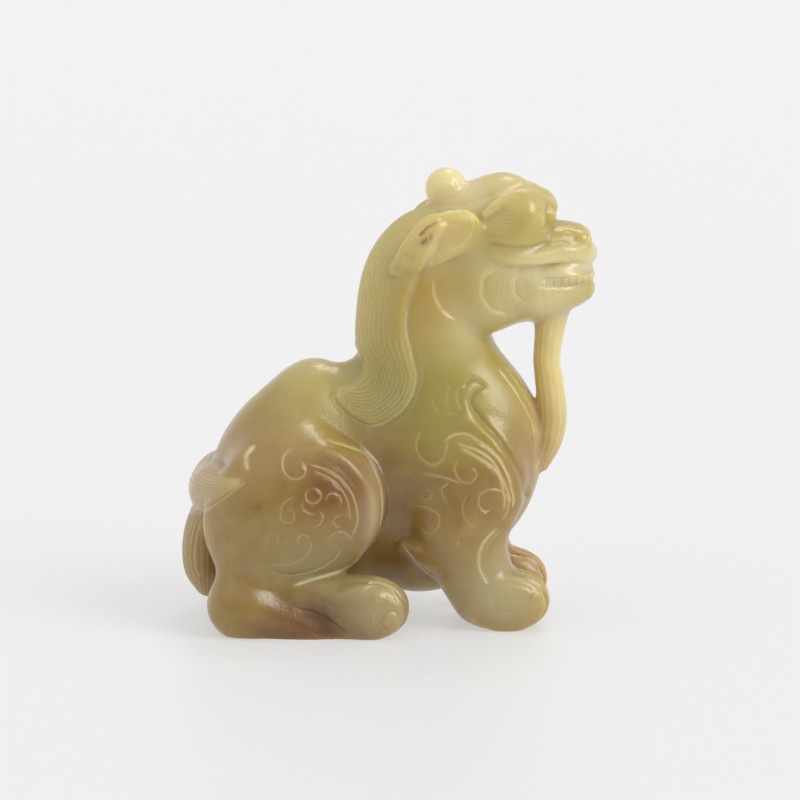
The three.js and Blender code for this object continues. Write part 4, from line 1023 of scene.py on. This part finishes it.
camera = bpy.data.objects.new("camera", bpy.data.cameras.new("camera"))
bpy.context.scene.collection.objects.link(camera)
bpy.context.scene.camera = camera
back = Vector((0, -math.cos(ELEVATION), math.sin(ELEVATION)))
camera.location = FIGURE_MIDDLE + back * DISTANCE
camera.rotation_mode = "QUATERNION"
camera.rotation_quaternion = (-back).to_track_quat("-Z", "Y")
camera.data.sensor_width = 36.0
camera.data.lens = 36.0 * DISTANCE / (PICTURE * MM_PER_PIXEL * MM)
camera.data.clip_start = 0.01


def softbox(name, azimuth, elevation, width, strength, colour="#FFFFFF"):
    """A far round softbox, in degrees. Azimuth 0 is behind the camera and 90 to its right."""
    light = bpy.data.lights.new(name, "SUN")
    light.angle = math.radians(width)
    light.energy = strength
    light.color = linear(colour)[:3]
    lamp = bpy.data.objects.new(name, light)
    bpy.context.scene.collection.objects.link(lamp)
    a, e = math.radians(azimuth), math.radians(elevation)
    way = Vector((math.sin(a) * math.cos(e), -math.cos(a) * math.cos(e), math.sin(e)))
    lamp.rotation_mode = "QUATERNION"
    lamp.rotation_quaternion = way.to_track_quat("Z", "Y")


softbox("right", 60, 38, 34, 1.3)
softbox("back", 160, 60, 18, 0.4)
softbox("above", 0, 88, 150, 1.1)
softbox("left", -62, 58, 70, 0.3)

# White paper stands behind and beside the figure, and the room above and behind the camera is dimmer
world = bpy.data.worlds.new("studio")
bpy.context.scene.world = world
world.use_nodes = True
tree = world.node_tree
tree.nodes.clear()
way = add(tree, "ShaderNodeSeparateXYZ", Vector=add(tree, "ShaderNodeTexCoord").outputs["Generated"])
high = add(tree, "ShaderNodeMapRange", {"From Min": 0.1, "From Max": 0.5,
                                        "interpolation_type": "SMOOTHSTEP"}, Value=way.outputs["Z"])
near = add(tree, "ShaderNodeMapRange", {"From Min": -0.2, "From Max": -0.8,
                                        "interpolation_type": "SMOOTHSTEP"}, Value=way.outputs["Y"])
dim = add(tree, "ShaderNodeMath", {"operation": "MAXIMUM"}, _0=high.outputs[0], _1=near.outputs[0]).outputs[0]
room = add(tree, "ShaderNodeMix", {"data_type": "RGBA", "6": linear("#F0F0F0"),
                                   "7": linear("#787878")}, _0=dim)
add(tree, "ShaderNodeOutputWorld", Surface=add(tree, "ShaderNodeBackground",
                                               Color=room.outputs[2]).outputs[0])
bpy.context.scene.view_settings.view_transform = "Standard"

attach(qilin, "root")
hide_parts("qilin_figure")
